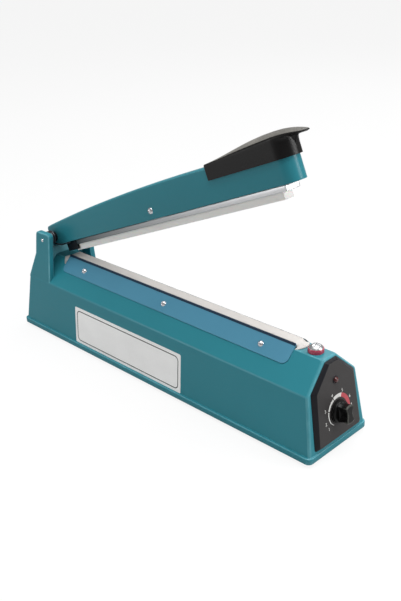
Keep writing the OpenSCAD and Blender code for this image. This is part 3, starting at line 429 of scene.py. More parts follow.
def wear(thing, amount, front=None):
    """Marks convex edges in the point attribute "edge", which lightens them as wear and painted highlight. The
    angle between two neighbouring faces over the distance between their middles is the bend of their edge, and
    a vertex keeps the strongest bend of its edges. With a front direction, only edges near the foremost point
    count."""
    crease, reach, nearest, near_front = 0.45, 2.2, 0.1, 2.5
    faint, rise = 0.55, 0.35
    mesh = thing.data
    centre = pulled(mesh.polygons, "center", 3) / MM
    normal = pulled(mesh.polygons, "normal", 3)
    edge = pulled(mesh.loops, "edge_index", kind=int)
    face = np.repeat(np.arange(len(centre)), pulled(mesh.polygons, "loop_total", kind=int))
    order = np.argsort(edge, kind="stable")
    edge, face = edge[order], face[order]
    twin = np.flatnonzero(edge[1:] == edge[:-1])
    one, other = face[twin], face[twin + 1]
    way = centre[other] - centre[one]
    angle = np.arccos(np.clip(np.sum(normal[one] * normal[other], 1), -1, 1))
    gap = np.maximum(np.linalg.norm(way, axis=1), nearest)
    bend = np.where(angle > crease, 1.0, reach * angle / gap)
    bend = np.where(np.sum(normal[one] * way, 1) < 0, bend, 0.0)
    strength = amount * np.clip((bend - faint) / rise, 0, 1)
    if front is not None:
        along = centre @ np.array(front)
        strength = np.where(along[one] > along.max() - near_front, strength, 0.0)
    mark = np.zeros(len(mesh.vertices))
    for side in pulled(mesh.edges, "vertices", 2, int)[edge[twin]].T:
        np.maximum.at(mark, side, strength)
    mesh.attributes.new("edge", "FLOAT", "POINT").data.foreach_set("value", mark)


def evaluated_mesh(thing):
    """A copy of an object's mesh with its modifiers or its lettering worked out."""
    bpy.context.view_layer.update()
    shaped = thing.evaluated_get(bpy.context.evaluated_depsgraph_get())
    return bpy.data.meshes.new_from_object(shaped)


def cut(thing, parts):
    """Takes closed parts out of a piece and keeps the result as its mesh."""
    cutter = welded("cutter", parts)
    tool = thing.modifiers.new("Holes", "BOOLEAN")
    tool.operation = "DIFFERENCE"
    tool.solver = "EXACT"
    tool.object = cutter
    result = evaluated_mesh(thing)
    thing.modifiers.clear()
    thing.data = result
    result.set_sharp_from_angle(angle=math.radians(SHARP))
    bpy.data.objects.remove(cutter)


class Surface:
    """The node tree of a material or world. Patterns lie on Object coordinates unless another source is
    named."""

    SOCKETS = {"metal": "Metallic", "coat": "Coat Weight", "coat_rough": "Coat Roughness", "ior": "IOR",
               "specular": "Specular IOR Level", "through": "Transmission Weight",
               "deep": "Subsurface Weight", "deep_scale": "Subsurface Scale"}

    def __init__(self, owner):
        owner.use_nodes = True
        self.owner = owner
        self.tree = owner.node_tree

    def feed(self, node, inputs):
        """Gives each named input a link where its value is a socket, and else the plain value."""
        for key, value in inputs.items():
            socket = node.inputs[key]
            if isinstance(value, bpy.types.NodeSocket):
                self.tree.links.new(value, socket)
            else:
                socket.default_value = (*value, 1) if socket.type == "RGBA" else value
        return node

    def add(self, kind, inputs=None, **settings):
        node = self.tree.nodes.new("ShaderNode" + kind)
        for key, value in settings.items():
            setattr(node, key, value)
        return self.feed(node, inputs or {})

    def coords(self, scale=(1, 1, 1), turn=(0, 0, 0), source="Object"):
        start = self.add("TexCoord").outputs[source]
        return self.add("Mapping", {"Vector": start, "Scale": scale, "Rotation": turn}).outputs["Vector"]

    def noise(self, where, scale, detail=3.0, roughness=0.55):
        inputs = {"Vector": where, "Scale": scale, "Detail": detail, "Roughness": roughness}
        return self.add("TexNoise", inputs).outputs["Fac"]

    def bands(self, where, pitch, direction, distortion):
        inputs = {"Vector": where, "Scale": 2 * math.pi / (20 * pitch), "Distortion": distortion}
        return self.add("TexWave", inputs, bands_direction=direction).outputs["Fac"]

    def ramp(self, factor, start, end, first, last):
        """The first colour at start and the last at end, with a blend between."""
        node = self.add("ValToRGB", {"Fac": factor})
        for mark, place, colour in zip(node.color_ramp.elements, (start, end), (first, last)):
            mark.position = place
            mark.color = (*colour, 1)
        return node.outputs["Color"]

    def shades(self, factor, start, end, colour, dark, light):
        """A colour that is dimmed by dark at start and raised by light at end."""
        return self.ramp(factor, start, end, shade(colour, dark), shade(colour, light))

    def span(self, factor, low, high, start=0.3, end=0.7):
        inputs = {"Value": factor, "From Min": start, "From Max": end, "To Min": low, "To Max": high}
        return self.add("MapRange", inputs).outputs["Result"]

    def math(self, operation, a, b):
        return self.add("Math", {0: a, 1: b}, operation=operation).outputs["Value"]

    def weighed(self, a, share_a, b, share_b):
        return self.math("ADD", self.math("MULTIPLY", a, share_a), self.math("MULTIPLY", b, share_b))

    def blend(self, factor, a, b):
        return self.add("Mix", {0: factor, 6: a, 7: b}, data_type="RGBA").outputs[2]

    def hinge_end(self):
        """How much painted shade a part gets: 1 at the hinge end, falling to 0 over the length of the arm."""
        split = self.add("SeparateXYZ", {0: self.coords()})
        return self.span(split.outputs["X"], 1.0, 0.0, -0.15, 0.12)

    def lift(self, height, strength, distance, under=None):
        inputs = {"Height": height, "Strength": strength, "Distance": distance}
        if under is not None:
            inputs["Normal"] = under
        return self.add("Bump", inputs).outputs["Normal"]

    def shaded(self, colour, roughness, normal, **sockets):
        """Puts the worked-out sockets and plain values on the plain shader."""
        plain = {self.SOCKETS[key]: value for key, value in sockets.items()}
        inputs = {"Base Color": colour, "Roughness": roughness, "Normal": normal, **plain}
        self.feed(self.tree.nodes["Principled BSDF"], inputs)

    def seen(self):
        """1 for rays that come from the camera, straight or through a clear piece."""
        path = self.add("LightPath").outputs
        return self.math("MAXIMUM", path["Is Camera Ray"], path["Is Transmission Ray"])

    def mixed(self, share, first, second):
        return self.add("MixShader", {0: share, 1: first.outputs[0], 2: second.outputs[0]})

    def end_in(self, output, node):
        self.feed(self.tree.nodes[output], {"Surface": node.outputs[0]})


def shade(colour, factor):
    return tuple(min(1.0, float(c) * factor) for c in colour)


def moulded(name, colour, rough, spread, peel=420.0, peel_lift=0.06, rubbed_and_lit=None, **sockets):
    """Moulded plastic: soft cloudy shade, handled patches in the gloss, fine orange peel and edges lightened
    as wear and painted highlight.
    """
    s = Surface(bpy.data.materials.new(name))
    where = s.coords()
    cloud = s.weighed(s.noise(where, 9.0, 4.0), 0.88, s.noise(where, 260.0, 2.0), 0.12)
    base = s.shades(cloud, 0.32, 0.68, colour, 1 - spread, 1 + spread)
    # Marked edges take the lighter colour: partly wear, partly painted highlight.
    if rubbed_and_lit:
        mark = s.add("Attribute", attribute_name="edge").outputs["Fac"]
        patches = s.span(s.noise(where, 90.0, 4.0), 0.4, 0.95)
        base = s.blend(s.math("MULTIPLY", mark, patches), base, rubbed_and_lit)
    gloss = s.span(s.noise(where, 38.0, 5.0, 0.65), *rough)
    s.shaded(base, gloss, s.lift(s.noise(where, peel, 2.0), peel_lift, 0.0004), **sockets)


def grained(name, colour, cell, depth, rough, spread=0.1, **sockets):
    """Grained plastic or rubber: small round cells pressed in the mould, with a rougher floor between."""
    s = Surface(bpy.data.materials.new(name))
    where = s.coords()
    cells = s.add("TexVoronoi", {"Vector": where, "Scale": cell}).outputs["Distance"]
    cloud = s.noise(where, 24.0, 4.0)
    base = s.shades(cloud, 0.3, 0.7, colour, 1 - spread, 1 + spread)
    gloss = s.span(s.weighed(cells, 0.4, cloud, 0.7), *rough)
    first = s.lift(cells, depth, 0.0002)
    s.shaded(base, gloss, s.lift(s.noise(where, cell * 2.0, 2.0), depth * 0.4, 0.0001, first), **sockets)


def metal(name, colour, rough, lines, stretch=(1, 1, 1), turn=(0, 0, 0), line_lift=0.05, hinge_shade=None):
    """Bare metal: a drawn or tumbled grain, which can be long in one direction, with duller patches and, where
    a hinge shade colour is given, painted shade that darkens it toward the hinge end."""
    s = Surface(bpy.data.materials.new(name))
    grain = s.noise(s.coords(stretch, turn), lines)
    cloud = s.noise(s.coords(), 30.0, 5.0, 0.7)
    base = s.shades(s.weighed(grain, 0.6, cloud, 0.4), 0.35, 0.65, colour, 0.94, 1.06)
    # Painted shade: the hinge shade colour darkens the metal toward the hinge end.
    if hinge_shade:
        base = s.blend(s.hinge_end(), base, hinge_shade)
    s.shaded(base, s.span(cloud, *rough), s.lift(grain, line_lift, 0.0002), metal=1.0)


def layered(name, colour, dark, pitch, direction, rough, **sockets):
    """Stacked sheets or laid turns: fine bands along one direction with dark joints between them."""
    s = Surface(bpy.data.materials.new(name))
    where = s.coords()
    band = s.bands(where, pitch, direction, 0.6)
    cloud = s.noise(where, 60.0, 4.0)
    base = s.blend(s.span(band, 0.0, 1.0, 0.05, 0.5), dark, s.shades(cloud, 0.3, 0.7, colour, 0.9, 1.1))
    s.shaded(base, s.span(cloud, *rough), s.lift(band, 0.5, pitch * 0.3), **sockets)


def woven(name, colour):
    """Coated glass cloth: two sets of fine yarns cross on the cloth's own map, with a faint heat stain."""
    s = Surface(bpy.data.materials.new(name))
    where = s.coords(source="UV")
    yarn = s.math("MAXIMUM", *(s.bands(where, 0.00075, way, 0.4) for way in "XY"))
    stain = s.noise(s.coords((1, 7, 1)), 22.0, 4.0)
    ground = s.shades(stain, 0.3, 0.72, colour, 0.94, 1.03)
    base = s.blend(s.span(yarn, 0.22, 0.0, 0.3, 0.9), ground, shade(colour, 0.78))
    bump = s.lift(s.noise(where, 900.0, 2.0), 0.12, 0.0001, s.lift(yarn, 0.35, 0.00012))
    s.shaded(base, s.span(s.noise(where, 130.0, 4.0), 0.42, 0.58), bump, specular=0.4)


def paper(name, colour):
    """Bare printed-stock label: faint fibre mottling under a thin gloss."""
    s = Surface(bpy.data.materials.new(name))
    where = s.coords((1, 1, 1.6))
    fibre = s.noise(where, 700.0, 4.0, 0.7)
    cloud = s.noise(where, 18.0)
    base = s.shades(s.weighed(fibre, 0.4, cloud, 0.6), 0.35, 0.65, colour, 0.93, 1.02)
    s.shaded(base, s.span(cloud, 0.34, 0.46), s.lift(fibre, 0.08, 0.0001))


def lens(name):
    """Red lamp lens: clear tinted plastic with a slight flow pattern."""
    s = Surface(bpy.data.materials.new(name))
    flow = s.noise(s.coords(), 300.0)
    base = s.ramp(flow, 0.3, 0.7, tint(66, 3, 4), tint(92, 6, 7))
    s.shaded(base, s.span(flow, 0.1, 0.18), s.lift(flow, 0.04, 0.0001),
             through=0.35, ior=1.49, coat=0.4, coat_rough=0.06)


def build_finishes():
    """Builds every finish once."""
    c = bpy.context.scene.sealer_colours
    # The shell's lighter edge colour is partly wear, partly painted highlight.
    moulded("shell_plastic", c.shell, (0.29, 0.32), 0.04, peel_lift=0.006, rubbed_and_lit=tint(120, 184, 196),
            specular=0.25)
    moulded("plate_paint", c.plate, (0.3, 0.42), 0.05, 900.0, specular=0.3)
    # Dark navy copy of the plate paint: painted shade on the front plate's upright flange.
    moulded("plate_flange_shade", tint(24, 48, 70), (0.35, 0.48), 0.1, 900.0, specular=0.2)
    grained("panel_plastic", c.panel, 1500.0, 0.15, (0.42, 0.54), specular=0.25)
    grained("handle_plastic", c.handle, 1100.0, 0.3, (0.3, 0.42), specular=0.25)
    # Light grey copy of the handle's grain: painted sheen on the handle's crown.
    grained("handle_top_sheen", tint(112, 110, 105), 900.0, 0.6, (0.34, 0.5), 0.35, specular=0.3)
    # The knob's lighter front rim colour is partly wear, partly painted highlight.
    moulded("knob_plastic", c.knob, (0.24, 0.36), 0.12, rubbed_and_lit=tint(92, 94, 89), specular=0.2)
    metal("bright_metal", (0.78, 0.78, 0.79), (0.12, 0.22), 1200.0, line_lift=0.03)
    metal("zinc_steel", (0.56, 0.57, 0.58), (0.28, 0.42), 160.0)
    metal("sheet_steel", (0.5, 0.51, 0.52), (0.32, 0.46), 300.0, (1, 8, 1))
    # The bar's hinge shade colour is painted shade that darkens it toward the hinge end.
    metal("bar_aluminium", (0.76, 0.76, 0.77), (0.3, 0.42), 1600.0, (0.04, 1, 1), (0, OPEN, 0),
          line_lift=0.12, hinge_shade=(0.1, 0.115, 0.12))
    # Near-black wire colour: painted shade for the spring in the shadowed hinge recess.
    metal("spring_wire", (0.1, 0.1, 0.11), (0.3, 0.42), 900.0)
    woven("cloth_weave", c.cloth)
    moulded("strip_silicone", c.strip, (0.42, 0.56), 0.03, 1200.0, 0.1, deep=0.12, deep_scale=0.002)
    moulded("button_plastic", c.button, (0.2, 0.3), 0.08, coat=0.3, coat_rough=0.1)
    grained("foot_rubber", tint(30, 30, 31), 700.0, 0.5, (0.6, 0.8))
    moulded("nylon_natural", tint(222, 216, 200), (0.4, 0.5), 0.05)
    paper("label_paper", c.label)
    moulded("ink_dark", tint(40, 40, 44), (0.4, 0.5), 0.12)
    moulded("ink_white", tint(208, 208, 205), (0.4, 0.5), 0.05)
    moulded("ink_red", c.print_red, (0.4, 0.5), 0.06)
    lens("lamp_lens")
    layered("core_sheets", (0.18, 0.18, 0.19), (0.04, 0.04, 0.045), 0.0005, "Y", (0.4, 0.55), metal=0.8)
    layered("coil_tape", tint(196, 150, 52), tint(120, 80, 24), 0.0011, "Z", (0.25, 0.4))
    moulded("board_green", tint(26, 84, 48), (0.25, 0.4), 0.12, 900.0, 0.2)
    grained("insulation_brown", tint(122, 82, 46), 1400.0, 0.3, (0.5, 0.65))
    moulded("lead_sleeve", tint(168, 34, 30), (0.35, 0.5), 0.1)
    moulded("part_black", tint(16, 17, 23), (0.35, 0.5), 0.14, specular=0.25)


def finish(name):
    """A finish by its name. The first call builds them all."""
    if "shell_plastic" not in bpy.data.materials:
        build_finishes()
    return bpy.data.materials[name]


def casing_rings():
    """The moulded shell from its inner roof down to the base seat, round the flange and up to the ridge.

    Each ring is a level outline: half widths follow a side profile with rounded corners, the ends follow the
    leaning end lines, and near the ridge the ends follow a circle that touches both end face and ridge."""
    rim, corner = size("rim_round"), size("corner_round")
    foot_top, roof, wall = 6.9, 79.4, 2.61

    def end_x(line, lean, way, z):
        middle = RIDGE_Z - rim
        top = line(middle) + way * (arc(rim, z - middle) - rim / math.cos(lean))
        return np.where(z > middle + rim * math.sin(lean), top, line(z))

    side = rounded_path(
        [(wall_y(foot_top), foot_top), (SHOULDER_Y, SHOULDER_Z), (RIDGE_HALF, RIDGE_Z), (0.0, RIDGE_Z)],
        [size("shoulder_round"), size("ridge_round")])
    top = side[:, 1] >= RIDGE_Z - 1e-6
    half, z = np.vstack([densify(side[~top], 1.2), densify(side[top], 2.0)]).T
    outer = rect_rings(end_x(back_x, BACK_SLOPE, -1, z), end_x(face_x, FACE_LEAN, 1, z) + FACE_OUT,
                       half, corner, z)

    inset, height, radius = np.array([
        (2.7, 1.5, 4.0), (2.7, 0.0, 4.0), (0.6, 0.0, 4.5), (0.18, 0.18, 4.5), (0.0, 0.6, 4.5),
        (0.0, 5.0, 4.5), (0.14, 5.6, 4.5), (0.5, 5.93, 4.5), (0.9, 6.0, 4.5)]).T
    flange = rect_rings(inset, LENGTH - inset, HALF_WIDTH - inset, radius, height)
    z = np.array([6.05, 6.3])
    away = np.array([0.35, 0.08])
    foot = rect_rings(back_x(z) - away, face_x(z) + FACE_OUT + away, wall_y(z) + away, corner, z)

    half, z = densify(np.array([(0.0, roof), (7.4, roof), (wall_y(57.9) - wall, 57.9),
                                (wall_y(1.5) - wall, 1.5)]), 8.0).T
    inner = rect_rings(back_x(z) + 2.7, face_x(z) - 2.63, half, 1.5, z)
    return np.concatenate([inner, flange, foot, outer])


def ear_parts():
    """Ears and the bridge between them: outlines seen from the side, with rounded rims.

    An ear's faces lean as the wall does, so a ring's crosswise place is the wall's at that height less its
    depth."""
    low, knee, high = 43.0, 88.0, 113.0
    xb, xt = float(back_x(SHOULDER_Z)), float(back_x(knee))
    outline = [(xb + 2.0, low), (49.1, low), (53.1, high), (xt + 2.6, high), (xt, knee), (xb, SHOULDER_Z)]
    rings = slab(outline, 4.0, [
        (2.0, -0.04), (1.1, -0.04), (0.5, 0.14), (0.14, 0.5), (0.0, 1.06), (0.0, 5.0), (0.14, 5.5),
        (0.5, 5.86), (1.1, EAR_THICK), (2.0, EAR_THICK)])
    sunk = 0.3 * np.clip((60.0 - rings[..., 1]) / 17.0, 0, 1)
    ear = np.stack([rings[..., 0], rings[..., 2] + sunk - wall_y(rings[..., 1]), rings[..., 1]], -1)
    middle = slab(rectangle(28.5, 60.0, 35.1, 91.2), 0.8, [(0.0, -13.9), (0.0, 13.9)])
    seat = slab(rectangle(28.3, 60.0, 35.3, 96.6), 0.8, [
        (1.0, -26.3), (0.0, -26.3), (0.0, -14.3), (0.25, -13.75), (0.8, -13.5), (1.4, -13.5)])
    parts = [skin(middle[..., [0, 2, 1]])]
    for flip in ([1.0, 1.0, 1.0], [1.0, -1.0, 1.0]):
        parts += [skin(ear * flip), skin(seat[..., [0, 2, 1]] * flip)]
    return parts


def plate_rings(side):
    """A bent clamp plate: one closed profile carried along, its lower edge drawn back at the end corners."""
    bend = size("plate_bend")
    low = 18.0
    top = 86.0 if side < 0 else 84.8
    x0, x1 = SEAL_START - 3.0, SEAL_END + 3.0

    def profile(out, y, radius):
        """Up the shoulder at its height out, then upright at y."""
        up = (SHOULDER_Y - y + out * math.sin(SLOPE)) / math.cos(SLOPE)
        foot, knee = on_slope([(0.0, low, out), (0.0, up, out)])[:, 1:]
        return rounded_path([foot, knee, (-y, top)], [radius])

    loop = np.vstack([profile(PLATE_OUT, 6.6, bend), profile(-0.3, 5.6, bend + 1.0)[::-1]])
    end = PLATE_CORNER * (1 - np.cos(np.linspace(0, math.pi / 2, 9)))
    gap = np.concatenate([end, np.linspace(PLATE_CORNER + 0.5, (x1 - x0) / 2, 14)])
    x = np.concatenate([x0 + gap, (x1 - gap)[::-1][1:]])
    near = np.minimum(x - x0, x1 - x)
    back = PLATE_CORNER - arc(PLATE_CORNER, np.maximum(PLATE_CORNER - near, 0.0))
    rings = np.empty((len(x), len(loop), 3))
    rings[..., 0] = x[:, None]
    rings[..., 1:] = loop
    rings[:, [0, -1], 1:] += back[:, None, None] * np.array([math.cos(SLOPE), math.sin(SLOPE)])
    rings[..., 1] *= -side
    return rings


def screw_head(radius, height, recess, centre, axis=(0, 0, 1), sides=48):
    """A domed head: a ball cap lowered inside a cross of two bars whose walls are soft steps."""
    ball = (radius ** 2 + height ** 2) / (2 * height)
    r = np.concatenate([np.linspace(0, 0.96, 20), [0.985, 1.0]])[:, None] * radius
    a = circle(sides)
    x, y = r * np.cos(a), r * np.sin(a)

    def within(limit, v):
        return eased((limit * radius - np.abs(v)) / (0.07 * radius) + 0.5)

    wide, far = 0.15, 0.6
    cross = np.maximum(within(wide, x) * within(far, y), within(wide, y) * within(far, x))
    rings = np.stack([x, y, height - ball + arc(ball, r) - recess * cross], -1)
    low = np.stack([x[-1], y[-1], np.full(sides, -0.4)], -1)
    return skin(aimed(np.concatenate([rings, low[None], (low * [0, 0, 1])[None]]), centre, axis), False)


def cloth_grid():
    """The cloth: a rounded cross profile carried along the sealing bar, slightly rippled. Past the clamp
    plates the profile turns into a low tent that lies over the ridge, and the end is cut round."""
    ends = [(49.6, 82.5), (59.6, 86.15), (367.4, 86.15), (375.6, 82.5)]
    edges = [(-5.45, -3.6), (-5.45, 0.0), (5.45, 0.0), (5.45, -3.6)]
    middle = 200.0
    lengthways = densify(rounded_path(ends, [5.0, 5.0], 8), 1.6)
    crossways = densify(rounded_path(edges, [0.8, 0.8], 5, 0.2), 0.6)
    run, over = (np.concatenate([[0], np.cumsum(legs(path))]) for path in (lengthways, crossways))
    x, z = lengthways[:, :1], lengthways[:, 1:]
    v = (2 * over / over[-1] - 1)[None]
    waves = np.sin(x * 0.21 + v * 3.0) + 0.6 * np.sin(x * 0.083 - v * 5.0 + 1.0)
    ripple = size("cloth_wave") * waves * (1 - v * v) - 0.08
    past = np.maximum(x - 369.6, 57.4 - x)
    wide = eased(past / 1.8)
    flap_y = 8.7 * v - np.where(x < middle, 5.0, 0.0)
    rest = CLOTH_REST - 0.95 * np.maximum(np.abs(flap_y) - 8.45, 0.0)
    flap_z = rest + (z - CLOTH_REST) * (1 - np.abs(v) ** 1.6)
    y = (1 - wide) * crossways[None, :, 0] + wide * flap_y
    height = (1 - wide) * (z + crossways[None, :, 1]) + wide * flap_z + ripple
    shrink = np.maximum(past, 0.0) * (0.62 - 0.12 * v) * v * v
    along = x - np.sign(x - middle) * shrink
    return np.stack(np.broadcast_arrays(along, y, height), -1), over, run


def arch(u):
    """Top of the arm at u: a long arc, and a small round at the tail."""
    bow, tail_u = 2500.0, -5.5
    long_arc = 21.8 - bow + arc(bow, u - 208.0)
    tail = 7.0 + arc(6.0, u - tail_u)
    return np.where(u < tail_u, np.minimum(long_arc, tail), long_arc)


def arm_rings():
    """The channel: plan outlines drawn in by d, low ones at the rim, high ones under or on the arched top."""
    r = size("arm_round")
    a = np.linspace(0, math.pi / 2, 7)
    wall, inmost = 2.2, ARM_HALF - 0.02
    d = np.concatenate([[inmost, 8.0, wall + 0.6, wall, wall, wall - 0.3, 0.4, 0.1, 0.0, 0.0],
                        r - r * np.cos(a), [r + 0.6, 6.0, 9.0, inmost]])[:, None]
    k = np.concatenate([[wall, wall, wall, wall + 0.6, 0.3, 0.0, 0.0, 0.1, 0.4, r + 0.6],
                        r - r * np.sin(a), [-0.03, -0.15, -0.2, -0.22]])[:, None]
    high = np.concatenate([[1, 1, 1, 1, 0, 0, 0, 0, 0, 1], np.ones(len(a) + 4)])[:, None]
    b = ARM_HALF - d
    turn = np.linspace(-math.pi / 2, math.pi / 2, 33)[None]
    runs = np.linspace(NOSE_U - 1.0, ARM_TAIL, 56)[None]
    q = np.linspace(0, math.pi / 2, 6)[None]
    c = np.maximum(3.0 - d, 0.0)
    tail_u = np.maximum(ARM_TAIL, d - ARM_HALF)
    tail_y = np.minimum(-ARM_TAIL, b)
    u = np.concatenate([NOSE_U + b * np.cos(turn), np.maximum(runs, tail_u), tail_u - c * np.sin(q),
                        tail_u - c * np.cos(q), np.maximum(runs[:, ::-1], tail_u)], 1)
    y = np.concatenate([b * np.sin(turn), b + 0 * runs, tail_y + c * np.cos(q), -tail_y - c * np.sin(q),
                        -b + 0 * runs], 1)
    return on_arm(np.stack([u, y, np.where(high > 0, arch(u) - k, ARM_LOW + k)], -1))


def handle_rings():
    """The handle as cross sections along the arm: crown, rounded side edge, skirt or beak flare, and the
    hollow that takes the arm. The crown is a parabola, the beak's plan an ellipse, and the flare a quarter
    circle."""
    start = HANDLE_U + np.array([0.0, 0.12, 0.4, 0.9])
    sweep = BEAK_U + BEAK_REACH * np.sin(np.linspace(0, math.radians(88.6), 26))
    hook_start = HOOK_U + np.array([-0.5, -0.1, -0.02, 0.06, 0.4])
    u = np.sort(np.concatenate([start, np.linspace(266.0, 335.0, 24), sweep, hook_start]))[:, None]
    trim = np.interp(u, start, [0.9, 0.45, 0.14, 0.0])
    past_nose = np.maximum(u - NOSE_U, 0.0)
    skirt = np.maximum(arc(HANDLE_HALF, past_nose) - trim, 0.0)
    plan = HANDLE_HALF * arc(1.0, np.maximum(u - BEAK_U, 0.0) / BEAK_REACH) - trim
    plan = np.maximum(plan, skirt)
    edge = 23.7 + 0.0463 * (u - HANDLE_U) - 0.0046 * np.maximum(0.0, u - 344.0) ** 2 - trim
    crown = 4.5 * np.sin(math.pi * ((u - HANDLE_U) / 109.0) ** 1.2) + 0.25
    hook_end = HOOK_U + HOOK_R
    hook = 16.2 + arc(HOOK_R, hook_end - np.clip(u, HOOK_U, hook_end))
    low = np.where(u < HOOK_U, 10.0 + trim, np.minimum(hook, edge - 1.1))
    hollow = np.minimum(arc(HANDLE_HOLLOW, past_nose), skirt)
    roof = np.where(hollow > 0, arch(u) - 1.0, low)

    t = np.linspace(0, 0.9, 12)[None]
    deep = np.minimum(1.5, 0.6 * (edge - low))
    k = np.linspace(0, 1, 7)[None, 1:]
    bend_y = (1 - k) ** 2 * 0.9 * plan + 2 * k * (1 - k) * plan + k ** 2 * plan
    bend_w = (1 - k) ** 2 * (edge + 0.19 * crown) + 2 * k * (1 - k) * (edge + 0.02) + k ** 2 * (edge - deep)
    side_w = low + np.linspace(1, 0, 12)[None, 1:] * (edge - deep - low)
    flare = np.maximum(low, edge - deep - 8.0)
    g = np.clip((side_w - flare) / np.maximum(edge - deep - flare, 1e-6), 0, 1)
    side_y = skirt + (plan - skirt) * (1 - arc(1.0, g))
    rim_y = np.concatenate([np.maximum(skirt - 0.4, hollow), hollow, hollow, 0 * u], 1)
    rim_w = np.concatenate([low, low, roof, roof], 1)
    y = np.concatenate([plan * t, bend_y, side_y, rim_y], 1)
    w = np.concatenate([edge + crown * (1 - t * t), bend_w, side_w, rim_w], 1)
    y = np.concatenate([y, -y[:, -2:0:-1]], 1)
    w = np.concatenate([w, w[:, -2:0:-1]], 1)
    return on_arm(np.stack([np.broadcast_to(u, y.shape), y, w], -1))


def knob_rings():
    """A round base that turns into a waisted bar: the bar's radius is the lesser of a circle and two hollows.

    Each level is the base's radius, the bar's share, the height and a change of the bar's radius."""
    away, scoop, bar_r, none, power, stretch = 19.4, 16.0, 8.8, 60.0, 9.0, 0.95
    a = circle(96)[None]
    hollow = away * np.abs(np.sin(a)) - arc(scoop, away * np.cos(a))
    waist = np.where(away * np.abs(np.cos(a)) < scoop, hollow, none)
    bar = (bar_r ** -power + np.maximum(waist, 0.1) ** -power) ** (-1 / power)
    base = [(10.0, 0.0), (10.0, 0.25), (9.95, 2.5), (9.8, 3.0), (9.4, 3.35), (8.9, 3.45)]
    upper = [(1.0, 3.5, 0.5), (1.0, 3.7, 0.25), (1.0, 4.2, 0.05), (0.96, 5.2, 0), (0.92, 6.6, 0),
             (0.9, 8.2, 0), (0.91, 9.8, 0), (0.94, 11.2, 0), (0.96, 12.0, -0.05), (0.95, 12.5, -0.25),
             (0.91, 12.75, -0.55), (0.85, 12.8, -0.9), (0.4, 12.8, -0.6), (0.0, 12.8, 0.0)]
    base_r, base_h = np.array(base).T[..., None]
    share, upper_h, more = np.array(upper).T[..., None]
    r = np.concatenate([base_r + 0 * a, np.maximum(share * bar + more, 0.0)])
    height = np.concatenate([base_h, upper_h]) * stretch + 0 * a + KNOB_OUT
    rings = np.stack([height, r * np.sin(a), KNOB_S + r * np.cos(a)], -1)
    back = rings[:1] * [1.0, 0.0, 0.0] + np.array([0.0, 0.0, KNOB_S])
    return on_panel(np.concatenate([back, rings]))


def panel_rings():
    """The proud panel: a wide bevel from the base outline to the front one, and a small round at its front."""
    base = slab(PANEL_BASE, PANEL_ROUND, [(3.0, -0.4), (0.0, -0.4), (0.0, 1.3), (0.2, 1.6)])
    front = slab(PANEL_FRONT, PANEL_ROUND, [(-0.3, 3.95), (0.0, 4.2), (0.3, PANEL_OUT), (1.0, PANEL_OUT),
                                            (2.2, PANEL_OUT)])
    return on_panel(np.concatenate([base, front])[..., [2, 0, 1]])


def scale_part(first, last, inner, outer_first, outer_last):
    """A curved wedge of the dial's scale: angle one way, thickness the other, a thin closed bar."""
    sunk, proud = -0.05, 0.03
    a = np.radians(np.linspace(first, last, 40))[:, None]
    outer = np.linspace(outer_first, outer_last, 40)[:, None]
    r = np.concatenate([inner + 0 * a, inner + 0 * a, outer, outer], 1)
    h = PANEL_OUT + np.broadcast_to(np.array([sunk, proud, proud, sunk]), r.shape)
    return skin(on_panel(np.stack([h, r * np.cos(a), KNOB_S + r * np.sin(a)], -1)))


def numeral_part(sign, y, s):
    """A plain numeral as a thin closed mesh, stood up on the panel's face."""
    curve = bpy.data.curves.new("numeral", "FONT")
    curve.body = sign
    curve.size = NUMERAL_HIGH
    curve.align_x = "CENTER"
    curve.align_y = "CENTER"
    curve.extrude = 0.05
    holder = placed("numeral", curve)
    mesh = evaluated_mesh(holder)
    flat = pulled(mesh.vertices, "co", 3)
    faces = [list(face.vertices) for face in mesh.polygons]
    bpy.data.objects.remove(holder)
    bpy.data.curves.remove(curve)
    bpy.data.meshes.remove(mesh)
    return on_panel(np.stack([PANEL_OUT + flat[:, 2], y + flat[:, 0], s + flat[:, 1]], -1)), faces


def label_rings(radius, levels):
    """Rounded label outlines on the leaning front wall, each level's height measured out from it."""
    rings = slab(rectangle(95.0, 5.9, 256.0, 46.0), radius, levels)
    return np.stack([rings[..., 0], -wall_y(rings[..., 1]) - rings[..., 2], rings[..., 1]], -1)


def spring_path(wire):
    """One return spring about the pin: a straight leg, the turns, and a leg bent under the arm's edge."""
    r, pitch, turns = 7.0, 2.15, 3
    y0 = wall_y(PIN[2]) - EAR_THICK - wire / 2 - 0.3
    end = turns * 360 + math.degrees(OPEN)
    a = np.radians(np.linspace(0, end, 150))
    coil = np.stack([r * np.sin(a), -y0 + pitch * a / (2 * math.pi), -r * np.cos(a)], -1)
    leg = np.stack([np.linspace(-10.7, -0.4, 12), np.full(12, -y0), np.full(12, -r)], -1)
    low = ARM_LOW - wire / 2 - 0.25
    y1 = y0 - pitch * end / 360
    ends = leaned([(4.0, -y1, -r - 1.3), (9.0, -ARM_HALF - wire / 2 - 0.2, low), (14.0, -ARM_HALF - 0.2, low),
                   (24.0, -ARM_HALF + 1.1, low)], OPEN)
    tail = densify(rounded_path(np.vstack([coil[-1:], ends]), [1.2, 1.6, 2.0], 6, 0.2), 1.0)
    return np.vstack([leg, coil, tail[1:]])


def bar_part(low, high, steps):
    """A straight bar with rounded long edges and softened ends, between corners low and high in arm places."""
    radius = 0.5
    ends = [(radius * 2.0, 0.0), (radius, 0.0), (radius * 0.3, radius * 0.3), (0.0, radius), (0.0, 3.0)]
    levels = [(inset, low[0] + depth) for inset, depth in ends]
    levels += [(inset, high[0] - depth) for inset, depth in reversed(ends)]
    rings = slab(rectangle(*low[1:], *high[1:]), radius * 1.01 + 0.01, levels, steps)
    return skin(on_arm(rings[..., [2, 0, 1]]))


